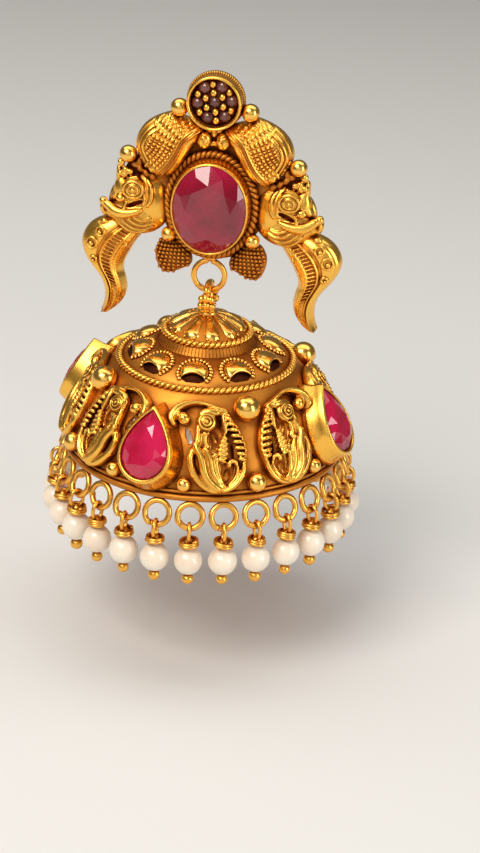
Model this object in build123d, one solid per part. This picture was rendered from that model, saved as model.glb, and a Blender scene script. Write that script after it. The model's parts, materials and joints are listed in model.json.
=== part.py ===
from build123d import *
from math import cos, pi, radians, sin, sqrt
import os

# A jhumka earring: a stud plate with a large oval ruby between two makaras, and a bell hung below it
# by a loop, with a fringe of pearls.  Millimetres, +Z up, the front of the earring faces -Y.
# The origin is where the ear post leaves the back of the stud plate.

# ---- driving dimensions -------------------------------------------------------------------------
SEAT_GAP = 0.05                # gap between a stone or pearl and the metal that holds it

# stud plate, heights above the back plane y = 0
PLATE_THICKNESS = 0.8
OVAL_Z = -4.0                  # centre of the oval stone, below the post
OVAL_STONE = (4.0, 5.0)        # half width and half height of the stone at its girdle
OVAL_COLLET_WALL = 0.35
OVAL_COLLET_HEIGHT = 2.9
OVAL_FLOOR = 1.0
OVAL_ROPE = (4.55, 5.5)        # centre line of the rope wire round the collet
OVAL_ROPE_RADIUS = 0.42
STONE_TABLE_HEIGHT = 3.9
CLUSTER_Z = OVAL_Z + 10.9
CLUSTER_RADIUS = 2.95
CLUSTER_POCKET_RADIUS = 2.45
CLUSTER_HEIGHT = 2.3
CLUSTER_FLOOR = 1.5
CLUSTER_STONE_RADIUS = 0.55
CLUSTER_STONE_CIRCLE = 1.62
POST_RADIUS = 0.45
POST_LENGTH = 10.5
POST_PAD_RADIUS = 2.0
POST_PAD_THICKNESS = 0.5

# hanging ring of the stud
RING_Y = -1.0                  # plane of the ring and axis of the bell
RING_Z = OVAL_Z - 7.7
RING_RADIUS = 1.65
RING_WIRE = 0.35

# bell, heights above its rim plane
RIM_BELOW_RING = 18.6
RIM_RADIUS = 14.6
RIM_WIRE = 0.45
BELLY_RADIUS = 12.55
BELLY_HEIGHT = 5.2
SHOULDER_RADIUS = 9.45
SHOULDER_HEIGHT = 9.3
ROPE_RADIUS = 9.2
ROPE_HEIGHT = 9.55
ROPE_WIRE = 0.42
DRUM_RADIUS = 5.1
DRUM_BASE_HEIGHT = 11.5
CROWN_RADIUS = 4.5
CROWN_HEIGHT = 12.6
CROWN_WIRE = 0.3
DOME_HEIGHT = 14.45
SHELL_THICKNESS = 0.7
LOOP_RADIUS = 1.32
LOOP_WIRE = 0.35
LOOP_CLEARANCE = 0.08
LOOP_CHAMFER = 0.2
MOON_COUNT = 10
MOON_RADIUS = 1.7
QUADRANTS = 4
FIRST_RUBY_AZIMUTH = -13.5     # degrees from the front, towards +X
PEAR_STONE = (2.5, 7.2)        # half width and full length of the pear stones
PEAR_HEIGHT_ON_BELL = 4.2
PEAR_TILT = 27.0               # the band leans back by this angle
COLLET_STAND_OFF = 2.1

# fringe
DROP_COUNT = 28
FIRST_DROP_AZIMUTH = 5.2
LINK_CENTRE_RADIUS = 15.2
LINK_CENTRE_HEIGHT = -1.75
LINK_RADIUS = 1.27
LINK_WIRE = 0.28
LINK_TILT = 23.0
PIN_LOOP_RADIUS = 0.72
PIN_WIRE = 0.2
PEARL_RADIUS = 1.54
PEARL_DROP = 3.65              # from the bottom of a link to the centre of its pearl
PIN_BALL_RADIUS = 0.62
PINS_PER_GROUP = 7


# ---- helpers ------------------------------------------------------------------------------------
def front_plane(height=0.0):
    """Sketch plane parallel to the stud plate, height in front of its back; sketch y is world z."""
    return Plane(origin=(0, -height, 0), x_dir=(1, 0, 0), z_dir=(0, -1, 0))


def ball(x, z, radius, height):
    """A solder ball on the stud plate, its centre height in front of the back."""
    return Pos(x, -height, z) * Sphere(radius)


def outline_face(points, height):
    """A smooth closed outline of (x, z) points as a face at a height."""
    wire = Spline(*[(x, -height, z) for x, z in points], periodic=True)
    return Face(Wire([wire]))


def shrunk(points, amount):
    """The outline drawn in towards its centre."""
    cx = sum(p[0] for p in points) / len(points)
    cz = sum(p[1] for p in points) / len(points)
    return [(cx + (x - cx) * amount, cz + (z - cz) * amount) for x, z in points]


def domed_outline(points, height):
    """A repousse boss: full outline at the back, drawn in towards its crown."""
    levels = [(1.0, 0.0), (0.96, 0.45), (0.84, 0.8), (0.55, 1.0)]
    return loft([outline_face(shrunk(points, k), height * h) for k, h in levels])


def mirror_pair(solid):
    return [solid, mirror(solid, about=Plane.YZ)]


def polar(azimuth, radius, height):
    """Location on the bell: x axis along the circumference, z axis outwards from its axis."""
    a = radians(azimuth)
    origin = (radius * sin(a), RING_Y - radius * cos(a), RING_Z - RIM_BELOW_RING + height)
    return Plane(origin=origin, x_dir=(cos(a), sin(a), 0), z_dir=(sin(a), -cos(a), 0))


def leaning(azimuth, radius, height, lean):
    """Like polar, with its z axis tipped upwards by lean degrees, square to a sloping band."""
    return Plane(polar(azimuth, radius, height) * Rot(-lean, 0, 0))


def pear_face(half_width, length):
    """Pear outline about its middle, point upwards: an arc below and two swelling sides above."""
    low = -length / 2 + half_width
    tip = length / 2
    side = Vector(half_width, low)
    lower = CenterArc((0, low), half_width, 180, 180)
    bulge = half_width * 0.78
    right = Spline(side, (bulge, low + (tip - low) * 0.42), (0, tip), tangents=[(0, 1), (-0.55, 0.84)])
    left = mirror(right, about=Plane.YZ)
    return Face(Wire(lower.edges() + right.edges() + left.edges()))


def fuse_all(solids):
    first, rest = solids[0], solids[1:]
    return first.fuse(*rest)


def largest_solid(shape):
    return max(shape.solids(), key=lambda s: s.volume)


# ---- stud plate ---------------------------------------------------------------------------------
def at_oval(points):
    return [(x, OVAL_Z + z) for x, z in points]


def oval_collet():
    """Raised oval setting with a ledge for the stone and a lip drawn in over its girdle."""
    half_w, half_h = OVAL_STONE
    wall = OVAL_COLLET_WALL
    centre = Pos(0, OVAL_Z)
    outer = front_plane() * (centre * Ellipse(half_w + wall, half_h + wall))
    body = extrude(outer, OVAL_COLLET_HEIGHT)
    pocket = front_plane(OVAL_FLOOR) * (centre * Ellipse(half_w + SEAT_GAP, half_h + SEAT_GAP))
    return body - extrude(pocket, OVAL_COLLET_HEIGHT)


def oval_rope():
    half_w, half_h = OVAL_ROPE
    path = front_plane(0.9) * (Pos(0, OVAL_Z) * Ellipse(half_w, half_h))
    section = Plane(origin=(half_w, -0.9, OVAL_Z), z_dir=(0, 0, 1)) * Circle(OVAL_ROPE_RADIUS)
    return sweep(section, path=path.wire())


def cluster_collet():
    body = extrude(front_plane() * (Pos(0, CLUSTER_Z) * Circle(CLUSTER_RADIUS)), CLUSTER_HEIGHT)
    pocket = front_plane(CLUSTER_FLOOR) * (Pos(0, CLUSTER_Z) * Circle(CLUSTER_POCKET_RADIUS))
    body -= extrude(pocket, CLUSTER_HEIGHT)
    grains = [ball(x, z, 0.3, CLUSTER_FLOOR + 0.15) for x, z in cluster_points(12, (0.95, 1.75), 37.0)]
    return [body] + grains


def cluster_points(count, radii, phase):
    """Points round the cluster, taking the radii in turn."""
    points = []
    for k in range(count):
        a = radians(phase + 360.0 * (k // len(radii)) / (count // len(radii)))
        r = radii[k % len(radii)]
        points.append((r * cos(a), CLUSTER_Z + r * sin(a)))
    return points


def pod():
    """Scaled, swelling makara body that arches from the top setting to the outer ball."""
    points = [(1.5, 8.2), (4.4, 9.3), (6.9, 8.6), (8.2, 6.9), (8.0, 4.4), (6.6, 2.8), (5.2, 2.7),
              (3.7, 4.3), (2.5, 6.0)]
    return domed_outline(at_oval(points), 2.5)


def makara_disc():
    """Domed roundel with the makara's head."""
    sphere_radius = 3.7
    sunk = 1.7
    dome = Pos(7.9, sunk, OVAL_Z - 1.0) * Sphere(sphere_radius)
    front = Pos(7.9, -5, OVAL_Z - 1.0) * Box(12, 10, 12)
    return [dome & front, ball(8.6, OVAL_Z + 1.4, 1.1, 1.7), ball(10.9, OVAL_Z - 0.7, 0.75, 1.2),
            ball(9.7, OVAL_Z + 0.1, 1.0, 1.3)]


def trunk():
    """S-curved trunk that hangs from the makara and ends in a point."""
    outer = [(10.9, -2.6), (12.9, -4.4), (13.25, -6.2), (12.5, -8.2), (11.4, -9.9), (10.95, -11.6)]
    tip = [(10.75, -13.1)]
    inner = [(9.5, -12.2), (8.75, -10.7), (8.6, -9.1), (8.85, -7.6), (8.5, -6.2), (7.5, -4.5), (8.4, -2.9)]
    return domed_outline_of_bars(at_oval(outer + tip + inner), 1.9)


def domed_outline_of_bars(points, height):
    """A long boss with upright sides, too curved to be drawn in towards one centre."""
    return extrude(outline_face(points, 0.0), height, dir=(0, -1, 0))


def fan():
    """Small granulated leaf below the oval."""
    points = [(2.3, -5.2), (4.4, -3.9), (5.8, -5.5), (5.5, -7.5), (4.1, -7.95), (2.1, -6.9)]
    corners = [(x, -0.0, z) for x, z in at_oval(points)]
    face = Face(Polyline(*corners, close=True))
    return extrude(face, 1.7, dir=(0, -1, 0), taper=8)


def back_plate():
    """Pierced sheet that the bosses are soldered to."""
    half = [(0, 9.0), (3.0, 8.6), (6.6, 7.6), (7.6, 5.0), (9.2, 3.9), (10.2, 1.0), (10.3, -1.8),
            (9.6, -3.2), (7.4, -3.8), (5.0, -4.8), (4.6, -6.2), (2.6, -6.2), (0, -6.35)]
    left = [(-x, z) for x, z in half[-2:0:-1]]
    corners = [(x, 0, z) for x, z in at_oval(half + left)]
    sheet = extrude(Face(Polyline(*corners, close=True)), PLATE_THICKNESS, dir=(0, -1, 0))
    for x, z, radius in ((2.75, 5.6, 0.42), (4.95, 1.95, 0.4)):
        hole = front_plane() * (Pos(x, OVAL_Z + z) * Circle(radius))
        for cutter in mirror_pair(extrude(hole, 4.0, both=True)):
            sheet -= cutter
    return sheet


def stud_frame():
    hanging_ring = Pos(0, RING_Y, RING_Z) * Rot(90, 0, 0) * Torus(RING_RADIUS, RING_WIRE)
    solder_tab = Pos(0, RING_Y, RING_Z + RING_RADIUS + 0.25) * Box(1.5, 0.8, 0.8)
    milled_wire = Pos(0, -0.5, CLUSTER_Z) * Rot(90, 0, 0) * Torus(CLUSTER_RADIUS - 0.05, 0.25)
    solids = [back_plate(), oval_collet(), oval_rope(), hanging_ring, solder_tab, milled_wire]
    solids += cluster_collet()
    singles = [pod(), trunk(), fan()] + makara_disc()
    singles += [ball(3.6, OVAL_Z + 10.0, 0.95, 1.0), ball(8.9, OVAL_Z + 4.3, 0.95, 1.0)]
    singles += [ball(4.7, OVAL_Z - 3.5, 0.8, 1.0), ball(1.35, OVAL_Z + 6.9, 0.75, 1.2)]
    singles += [ball(9.9, OVAL_Z + 3.55, 0.5, 1.0), ball(9.65, OVAL_Z + 2.75, 0.55, 1.0)]
    for solid in singles:
        solids += mirror_pair(solid)
    return fuse_all(solids)


def centre_ruby():
    """Oval stone: pavilion in the collet, girdle, and a stepped crown up to a flat table."""
    half_w, half_h = OVAL_STONE

    def level(height, scale):
        return front_plane(height) * (Pos(0, OVAL_Z) * Ellipse(half_w * scale, half_h * scale))

    girdle = OVAL_COLLET_HEIGHT - 0.35
    pavilion = loft([level(OVAL_FLOOR + SEAT_GAP, 0.55), level(girdle - 0.3, 1.0)])
    belt = extrude(level(girdle - 0.3, 1.0), 0.5)
    crown = loft([level(girdle + 0.2, 1.0), level(STONE_TABLE_HEIGHT, 0.62)])
    return fuse_all([pavilion, belt, crown])


def cluster_stones():
    """Seven small round stones on the floor of the top setting."""
    points = [(0.0, CLUSTER_Z)]
    points += cluster_points(6, (CLUSTER_STONE_CIRCLE,), 7.0)
    height = CLUSTER_FLOOR + SEAT_GAP
    stones = []
    for x, z in points:
        plane = front_plane(height) * Pos(x, z)
        stones.append(extrude(plane * Circle(CLUSTER_STONE_RADIUS), 0.35, taper=20))
    return Compound(stones)


def ear_post():
    pad = extrude(front_plane(-SEAT_GAP) * Circle(POST_PAD_RADIUS), -POST_PAD_THICKNESS)
    shaft = extrude(front_plane(-SEAT_GAP) * Circle(POST_RADIUS), -(POST_LENGTH - POST_RADIUS))
    tip = Pos(0, SEAT_GAP + POST_LENGTH - POST_RADIUS, 0) * Sphere(POST_RADIUS)
    return fuse_all([pad, shaft, tip])


# ---- bell ---------------------------------------------------------------------------------------
def bell_axis_location():
    return Pos(0, RING_Y, RING_Z - RIM_BELOW_RING)


def revolved(points, belly):
    """Solid of revolution: an arc through the belly from the rim to the shoulder, then straight runs."""
    corners = points + [(0, points[-1][1]), (0, points[0][1]), points[0]]
    section = [(x, 0, z) for x, z in corners]
    band = ThreePointArc(section[0], (belly[0], 0, belly[1]), section[1])
    rest = Polyline(*section[1:])
    return revolve(Face(Wire([band] + rest.edges())), Axis.Z)


def bell_shell():
    t = SHELL_THICKNESS
    outer = [(RIM_RADIUS, 0), (SHOULDER_RADIUS, SHOULDER_HEIGHT), (DRUM_RADIUS, DRUM_BASE_HEIGHT),
             (CROWN_RADIUS + 0.1, CROWN_HEIGHT), (2.9, CROWN_HEIGHT + 1.1), (0.9, DOME_HEIGHT)]
    inner = [(RIM_RADIUS - t, -0.3), (SHOULDER_RADIUS - t, SHOULDER_HEIGHT - t),
             (DRUM_RADIUS - t, DRUM_BASE_HEIGHT - t), (CROWN_RADIUS - t, CROWN_HEIGHT - t)]
    belly_in = (BELLY_RADIUS - t, BELLY_HEIGHT - 0.2)
    return revolved(outer, (BELLY_RADIUS, BELLY_HEIGHT)) - revolved(inner, belly_in)


def band_radius(height):
    """Radius of the bell's outer band at a height above the rim, on the arc through its belly."""
    (x1, y1), (x2, y2), (x3, y3) = ((RIM_RADIUS, 0), (BELLY_RADIUS, BELLY_HEIGHT),
                                    (SHOULDER_RADIUS, SHOULDER_HEIGHT))
    d = 2 * (x1 * (y2 - y3) + x2 * (y3 - y1) + x3 * (y1 - y2))
    s1, s2, s3 = x1 * x1 + y1 * y1, x2 * x2 + y2 * y2, x3 * x3 + y3 * y3
    cx = (s1 * (y2 - y3) + s2 * (y3 - y1) + s3 * (y1 - y2)) / d
    cy = (s1 * (x3 - x2) + s2 * (x1 - x3) + s3 * (x2 - x1)) / d
    r = sqrt((x1 - cx) ** 2 + (y1 - cy) ** 2)
    return cx + sqrt(r * r - (height - cy) ** 2)


def ruby_azimuths():
    return [FIRST_RUBY_AZIMUTH + 360.0 / QUADRANTS * k for k in range(QUADRANTS)]


def bell_collet(azimuth):
    """Pear setting that stands off the band and leans with it, with a pocket for its stone."""
    half_w, length = PEAR_STONE
    root = leaning(azimuth, band_radius(PEAR_HEIGHT_ON_BELL) - 0.6, PEAR_HEIGHT_ON_BELL, PEAR_TILT)
    body = loft([root * pear_face(half_w + 0.75, length + 1.5),
                 root * (Pos(0, 0, COLLET_STAND_OFF + 0.6) * pear_face(half_w + 0.3, length + 0.75))])
    pocket = root * (Pos(0, 0, 1.3) * pear_face(half_w + SEAT_GAP, length + 2.4 * SEAT_GAP))
    return body - extrude(pocket, 3.0)


def bell_ruby(azimuth):
    """Pear stone: girdle just inside the lip, and a low crown with a flat table."""
    half_w, length = PEAR_STONE
    root = leaning(azimuth, band_radius(PEAR_HEIGHT_ON_BELL) - 0.6, PEAR_HEIGHT_ON_BELL, PEAR_TILT)
    base = 1.3 + SEAT_GAP
    girdle = COLLET_STAND_OFF + 0.55
    belt = extrude(root * (Pos(0, 0, base) * pear_face(half_w, length)), girdle - base)
    crown = loft([root * (Pos(0, 0, girdle) * pear_face(half_w, length)),
                  root * (Pos(0, -0.25, girdle + 0.75) * pear_face(half_w * 0.58, length * 0.58))])
    return fuse_all([belt, crown])


def peacock_pads(azimuth):
    """Two raised oval panels beside each pear stone, which carry the peacocks."""
    pads = []
    for side in (-1, 1):
        plane = leaning(azimuth + side * 29.5, band_radius(4.6) - 0.6, 4.6, PEAR_TILT)
        panel = plane * (Rot(0, 0, side * 4) * Ellipse(2.75, 4.3))
        pads.append(extrude(panel, 1.7, taper=6))
    return pads


def peacock_windows(azimuth):
    """Piercings: beside the stone's point, and twice inside each peacock."""
    holes = []
    for side in (-1, 1):
        for offset, height, half_w, half_h in ((16.0, 6.2, 0.65, 1.1), (33.0, 2.3, 0.7, 0.9),
                                               (32.0, 5.9, 0.5, 1.2)):
            plane = leaning(azimuth + side * offset, band_radius(height) - 2.0, height, PEAR_TILT)
            holes.append(extrude(plane * Ellipse(half_w, half_h), 5.0))
    return holes


def band_balls(azimuth):
    """Solder balls of one quadrant: offset from the ruby, height, radius."""
    rows = [(45.0, 8.4, 1.25), (45.0, 1.5, 1.0), (14.8, 1.4, 0.75), (-14.8, 1.4, 0.75),
            (10.5, 7.8, 0.8), (-10.5, 7.8, 0.8)]
    return [polar(azimuth + offset, band_radius(height) + radius * 0.55, height) * Sphere(radius)
            for offset, height, radius in rows]


def half_moons():
    """Ten arched scales on the sloping shoulder, round side towards the crown."""
    slope = 27.0
    moons = []
    for k in range(MOON_COUNT):
        azimuth = 360.0 / MOON_COUNT * k
        plane = leaning(azimuth, 7.1, 10.1, 90 - slope)
        arch = Pos(0, 0.2) * Circle(MOON_RADIUS)
        square_end = Pos(0, -0.35) * Rectangle(2 * MOON_RADIUS, 1.1)
        below = Pos(0, -2.0) * Rectangle(4.0, 2.2)
        moons.append(extrude(plane * (arch + square_end - below), 1.05, dir=plane.z_dir))
    return moons


def crown_details():
    """Beaded wire, petals of the lotus dome, and the base bead under the loop."""
    details = [bell_axis_location() * Pos(0, 0, CROWN_HEIGHT) * Torus(CROWN_RADIUS, CROWN_WIRE)]
    for k in range(MOON_COUNT):
        details.append(polar(360.0 / MOON_COUNT * (k + 0.5), 2.7, CROWN_HEIGHT + 0.8) * Sphere(0.62))
    details.append(polar(0, 0, DOME_HEIGHT) * Sphere(0.8))
    return details


def bell_loop():
    """Upright loop through the hanging ring of the stud, with granules on its outside."""
    ring_bottom_inside = RING_Z - RING_RADIUS + RING_WIRE
    centre_z = ring_bottom_inside + LOOP_CLEARANCE - (LOOP_RADIUS - LOOP_WIRE)
    disc = Cylinder(LOOP_RADIUS + LOOP_WIRE, 2 * LOOP_WIRE)
    hoop = disc - Cylinder(LOOP_RADIUS - LOOP_WIRE, 4 * LOOP_WIRE)
    hoop = chamfer(hoop.edges().filter_by(GeomType.CIRCLE), LOOP_CHAMFER)
    parts = [Pos(0, RING_Y, centre_z) * Rot(0, 90, 0) * hoop]
    for side in (-1, 1):
        for angle, radius in ((15.0, 0.42), (-30.0, 0.42)):
            y = RING_Y + side * (LOOP_RADIUS + 0.2) * cos(radians(angle))
            z = centre_z + (LOOP_RADIUS + 0.2) * sin(radians(angle))
            parts.append(Pos(0, y, z) * Sphere(radius))
            for x in (-0.55, 0.55):
                parts.append(Pos(x, y + 0.15 * side, z - 0.35) * Sphere(0.32))
    return parts


def link_tilted(azimuth):
    """Sketch frame of one fringe link, its bottom tipped away from the bell."""
    return polar(azimuth, LINK_CENTRE_RADIUS, LINK_CENTRE_HEIGHT) * Rot(-LINK_TILT, 0, 0)


def fringe_link(azimuth):
    return link_tilted(azimuth) * Torus(LINK_RADIUS, LINK_WIRE)


def bell():
    rim = bell_axis_location() * Torus(RIM_RADIUS, RIM_WIRE)
    rope = bell_axis_location() * Pos(0, 0, ROPE_HEIGHT) * Torus(ROPE_RADIUS, ROPE_WIRE)
    solids = [bell_axis_location() * bell_shell(), rim, rope] + half_moons() + crown_details() + bell_loop()
    cutters = []
    for azimuth in ruby_azimuths():
        solids += peacock_pads(azimuth) + band_balls(azimuth)
        cutters += peacock_windows(azimuth)
    body = fuse_all(solids).cut(*cutters)
    links = [fringe_link(azimuth) for azimuth in drop_azimuths()]
    collets = [bell_collet(azimuth) for azimuth in ruby_azimuths()]
    return largest_solid(body.fuse(*collets, *links))


# ---- fringe of pearls ---------------------------------------------------------------------------
def drop_azimuths():
    return [FIRST_DROP_AZIMUTH + 360.0 / DROP_COUNT * k for k in range(DROP_COUNT)]


def link_bottom():
    """Radius and height of the centre of a link's wire at its lowest point."""
    lean = radians(LINK_TILT)
    return LINK_CENTRE_RADIUS + LINK_RADIUS * sin(lean), LINK_CENTRE_HEIGHT - LINK_RADIUS * cos(lean)


def head_pin(azimuth):
    """Wire pin: a loop through the link, two turns round its neck, a shaft, and a ball below the pearl."""
    radius, height = link_bottom()
    inner = PIN_LOOP_RADIUS - PIN_WIRE
    loop_z = height + LINK_WIRE + SEAT_GAP - inner
    pearl_z = height - PEARL_DROP
    neck_z = pearl_z + PEARL_RADIUS + 0.3
    loop = polar(azimuth, radius, loop_z) * Rot(0, 90, 0) * Torus(PIN_LOOP_RADIUS, PIN_WIRE)
    top = loop_z - PIN_LOOP_RADIUS
    bottom = pearl_z - PEARL_RADIUS - PIN_BALL_RADIUS
    upright = polar(azimuth, radius, bottom) * Rot(-90, 0, 0)
    shaft = upright * Pos(0, 0, (top - bottom) / 2) * Cylinder(PIN_WIRE, top - bottom)
    turns = [polar(azimuth, radius, neck_z + k * 0.36) * Rot(-90, 0, 0) * Torus(0.5, 0.21) for k in (0, 1)]
    core = polar(azimuth, radius, neck_z + 0.18) * Rot(-90, 0, 0) * Cylinder(0.42, 0.5)
    head = polar(azimuth, radius, bottom + 0.02) * Sphere(PIN_BALL_RADIUS)
    return fuse_all([shaft, loop, core, head] + turns)


def pearl(azimuth):
    radius, height = link_bottom()
    centre = polar(azimuth, radius, height - PEARL_DROP)
    return centre * Sphere(PEARL_RADIUS) - centre * Rot(90, 0, 0) * Cylinder(PIN_WIRE + SEAT_GAP, 4.0)


# ---- write one file per node --------------------------------------------------------------------
def nodes():
    found = {"stud_frame": stud_frame(), "centre_ruby": centre_ruby(), "cluster_stones": cluster_stones(),
             "ear_post": ear_post(), "bell": bell()}
    for number, azimuth in enumerate(ruby_azimuths(), start=1):
        found[f"bell_ruby_{number}"] = bell_ruby(azimuth)
    azimuths = drop_azimuths()
    for number, azimuth in enumerate(azimuths, start=1):
        found[f"pearl_{number:02d}"] = pearl(azimuth)
    for group in range(DROP_COUNT // PINS_PER_GROUP):
        first = group * PINS_PER_GROUP
        pins = [head_pin(azimuth) for azimuth in azimuths[first:first + PINS_PER_GROUP]]
        found[f"head_pins_{group + 1}"] = Compound(pins)
    return found


os.makedirs("parts", exist_ok=True)
for name, shape in nodes().items():
    export_step(shape, f"parts/{name}.step")
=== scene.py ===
"""A jhumka earring: stud plate, oval ruby, bell with peacocks, and a fringe of pearls.

Lengths are millimetres in the frame of the CAD part; MM turns them into Blender's metres.
"""
import json
import random
from math import atan2, cos, exp, hypot, pi, radians, sin

import bmesh
import bpy
import numpy as np
from mathutils import Matrix, Vector


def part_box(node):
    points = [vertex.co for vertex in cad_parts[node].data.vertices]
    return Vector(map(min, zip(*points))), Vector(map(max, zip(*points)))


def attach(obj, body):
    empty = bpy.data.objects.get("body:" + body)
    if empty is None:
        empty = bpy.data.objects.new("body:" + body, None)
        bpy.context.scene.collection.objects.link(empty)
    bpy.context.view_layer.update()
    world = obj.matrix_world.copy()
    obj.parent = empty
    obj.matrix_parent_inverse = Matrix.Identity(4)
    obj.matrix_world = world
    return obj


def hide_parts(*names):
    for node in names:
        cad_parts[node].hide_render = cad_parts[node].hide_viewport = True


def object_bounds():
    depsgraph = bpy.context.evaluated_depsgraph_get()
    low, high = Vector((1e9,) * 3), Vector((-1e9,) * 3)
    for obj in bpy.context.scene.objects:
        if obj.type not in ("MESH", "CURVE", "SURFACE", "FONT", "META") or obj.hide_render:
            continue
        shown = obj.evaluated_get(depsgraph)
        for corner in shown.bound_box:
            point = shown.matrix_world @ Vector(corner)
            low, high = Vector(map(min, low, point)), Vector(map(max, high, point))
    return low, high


MM = 0.001

# ---- sizes ----
RING_RADIUS = 1.65
RING_WIRE = 0.35
RIM_BELOW_RING = 18.6
RIM = (14.6, 0.0)              # radius and height of the band's lower edge
BELLY = (12.55, 5.2)
SHOULDER = (9.45, 9.3)
DRUM = (5.1, 11.5)             # foot of the crown's wall
CROWN = (4.5, 12.6)            # top of the crown's wall
ROPE = (9.2, 9.55)
DOME = 14.45                   # height of the bell's top
SHEET = 0.5                    # thickness of the bell's sheet
ROOF_MIDDLE = 7.1              # radius at which the half moons sit on the sloping shoulder
QUADRANTS = 4
FIRST_RUBY = -13.5             # azimuth of the first pear stone, degrees from the front
PEACOCK_OFFSET = 29.5          # from a pear stone to the peacock beside it
PEARS = [FIRST_RUBY + 90.0 * k for k in range(QUADRANTS)]
PEAR_HALF_WIDTH = 2.5
PEAR_LENGTH = 7.2
PEAR_HEIGHT = 4.2
PEAR_TILT = 27.0
MOONS = 10
DROPS = 28
FIRST_DROP = 5.2
LINK_CENTRE = (15.2, -1.75)
LINK_RADIUS = 1.27
LINK_WIRE = 0.28
LINK_LEAN = radians(23.0)
DROP_AZIMUTHS = [FIRST_DROP + 360.0 / DROPS * k for k in range(DROPS)]
DROP_RADIUS = LINK_CENTRE[0] + LINK_RADIUS * sin(LINK_LEAN)
DROP_TOP = LINK_CENTRE[1] - LINK_RADIUS * cos(LINK_LEAN)
PEARL_Z = DROP_TOP - 3.65
PEARL_RADIUS = 1.54
PINS_PER_GROUP = 7
CLUSTER_Y = 10.9               # height of the round setting over the oval's middle
CLUSTER_STONES = 6             # round the middle one
VOXEL = 0.07                   # grain of the cast reliefs
FLUTES = 84
MILLINGS = 76                  # bars round the wall of the cluster's cup


# ---- simple closed forms, collected in local millimetres ----
def unit_ball(detail):
    """Vertices and faces of a unit icosphere."""
    bm = bmesh.new()
    bmesh.ops.create_icosphere(bm, subdivisions=detail, radius=1.0)
    verts = np.array([v.co for v in bm.verts])
    faces = [tuple(v.index for v in f.verts) for f in bm.faces]
    bm.free()
    return verts, faces


BALLS = {detail: unit_ball(detail) for detail in (2, 3, 4)}


def catmull(points, closed, per_span):
    """Points on a smooth curve through the given rows, per_span to a span."""
    p = np.asarray(points, float)
    if closed:
        p = np.vstack([p[-1], p, p[0], p[1]])
    else:
        p = np.vstack([2 * p[0] - p[1], p, 2 * p[-1] - p[-2]])
    t = np.linspace(0, 1, per_span, endpoint=False)[:, None]
    rows = []
    for a, b, c, d in zip(p[:-3], p[1:-2], p[2:-1], p[3:]):
        rows.append(0.5 * (2 * b + (c - a) * t + (2 * a - 5 * b + 4 * c - d) * t ** 2
                           + (3 * b - a - 3 * c + d) * t ** 3))
    curve = np.vstack(rows)
    return curve if closed else np.vstack([curve, p[-2]])


def columns(*parts):
    """Rows made of the given columns, side by side."""
    return np.column_stack(parts)


def full_turn(count):
    """Angles spread evenly round a circle."""
    return np.linspace(0, 2 * pi, count, endpoint=False)


def circle(radius, height, count):
    """Points round the z axis at a height, from the front."""
    a = full_turn(count)
    return columns(radius * np.sin(a), -radius * np.cos(a), np.full(count, height))


def ellipse(half_w, half_h, count=120, centre=(0, 0)):
    """Points round an upright ellipse."""
    a = full_turn(count)
    return columns(centre[0] + half_w * np.cos(a), centre[1] + half_h * np.sin(a))


def leaning_ellipse(across, up, half_w, half_h, lean):
    """An ellipse leaning by so many degrees."""
    a = radians(lean)
    turn = np.array([[cos(a), sin(a)], [-sin(a), cos(a)]])
    return ellipse(half_w, half_h, 20) @ turn + np.array([across, up])


def run_along(points):
    """Distance along a path at each of its points."""
    return np.concatenate([[0], np.cumsum(np.linalg.norm(np.diff(points, axis=0), axis=1))])


def axes_across(ahead, ref):
    """Unit vectors to the side of a path and out of it; ref is across its plane."""
    side = np.cross(ahead, np.asarray(ref, float))
    side /= np.linalg.norm(side, axis=1)[:, None]
    out = np.cross(side, ahead)
    return side, out / np.linalg.norm(out, axis=1)[:, None]


def quads(rows, count, rows_close=False, row_closes=True):
    """Faces between rows of count vertices each."""
    faces = []
    for i in range(rows if rows_close else rows - 1):
        j = (i + 1) % rows
        for k in range(count if row_closes else count - 1):
            m = (k + 1) % count
            faces.append((i * count + k, i * count + m, j * count + m, j * count + k))
    return faces


def capped(rows, count):
    """Faces of a skin through rows of count vertices, closed at both ends."""
    ends = [tuple(reversed(range(count))), tuple(range((rows - 1) * count, rows * count))]
    return quads(rows, count) + ends


def as_object(name, verts, faces):
    """A new object in the scene, with a mesh of its own."""
    mesh = bpy.data.meshes.new(name)
    mesh.from_pydata(verts.tolist(), [], faces)
    made = bpy.data.objects.new(name, mesh)
    bpy.context.collection.objects.link(made)
    return made


def discard(made):
    """Removes an object and its mesh."""
    mesh = made.data
    bpy.data.objects.remove(made)
    bpy.data.meshes.remove(mesh)


def subtract(body, tool):
    """Gives a body the modifier that takes the tool's closed forms out of it."""
    hollow = body.modifiers.new("hollow", "BOOLEAN")
    hollow.operation = "DIFFERENCE"
    hollow.solver = "EXACT"
    hollow.object = tool


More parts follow.
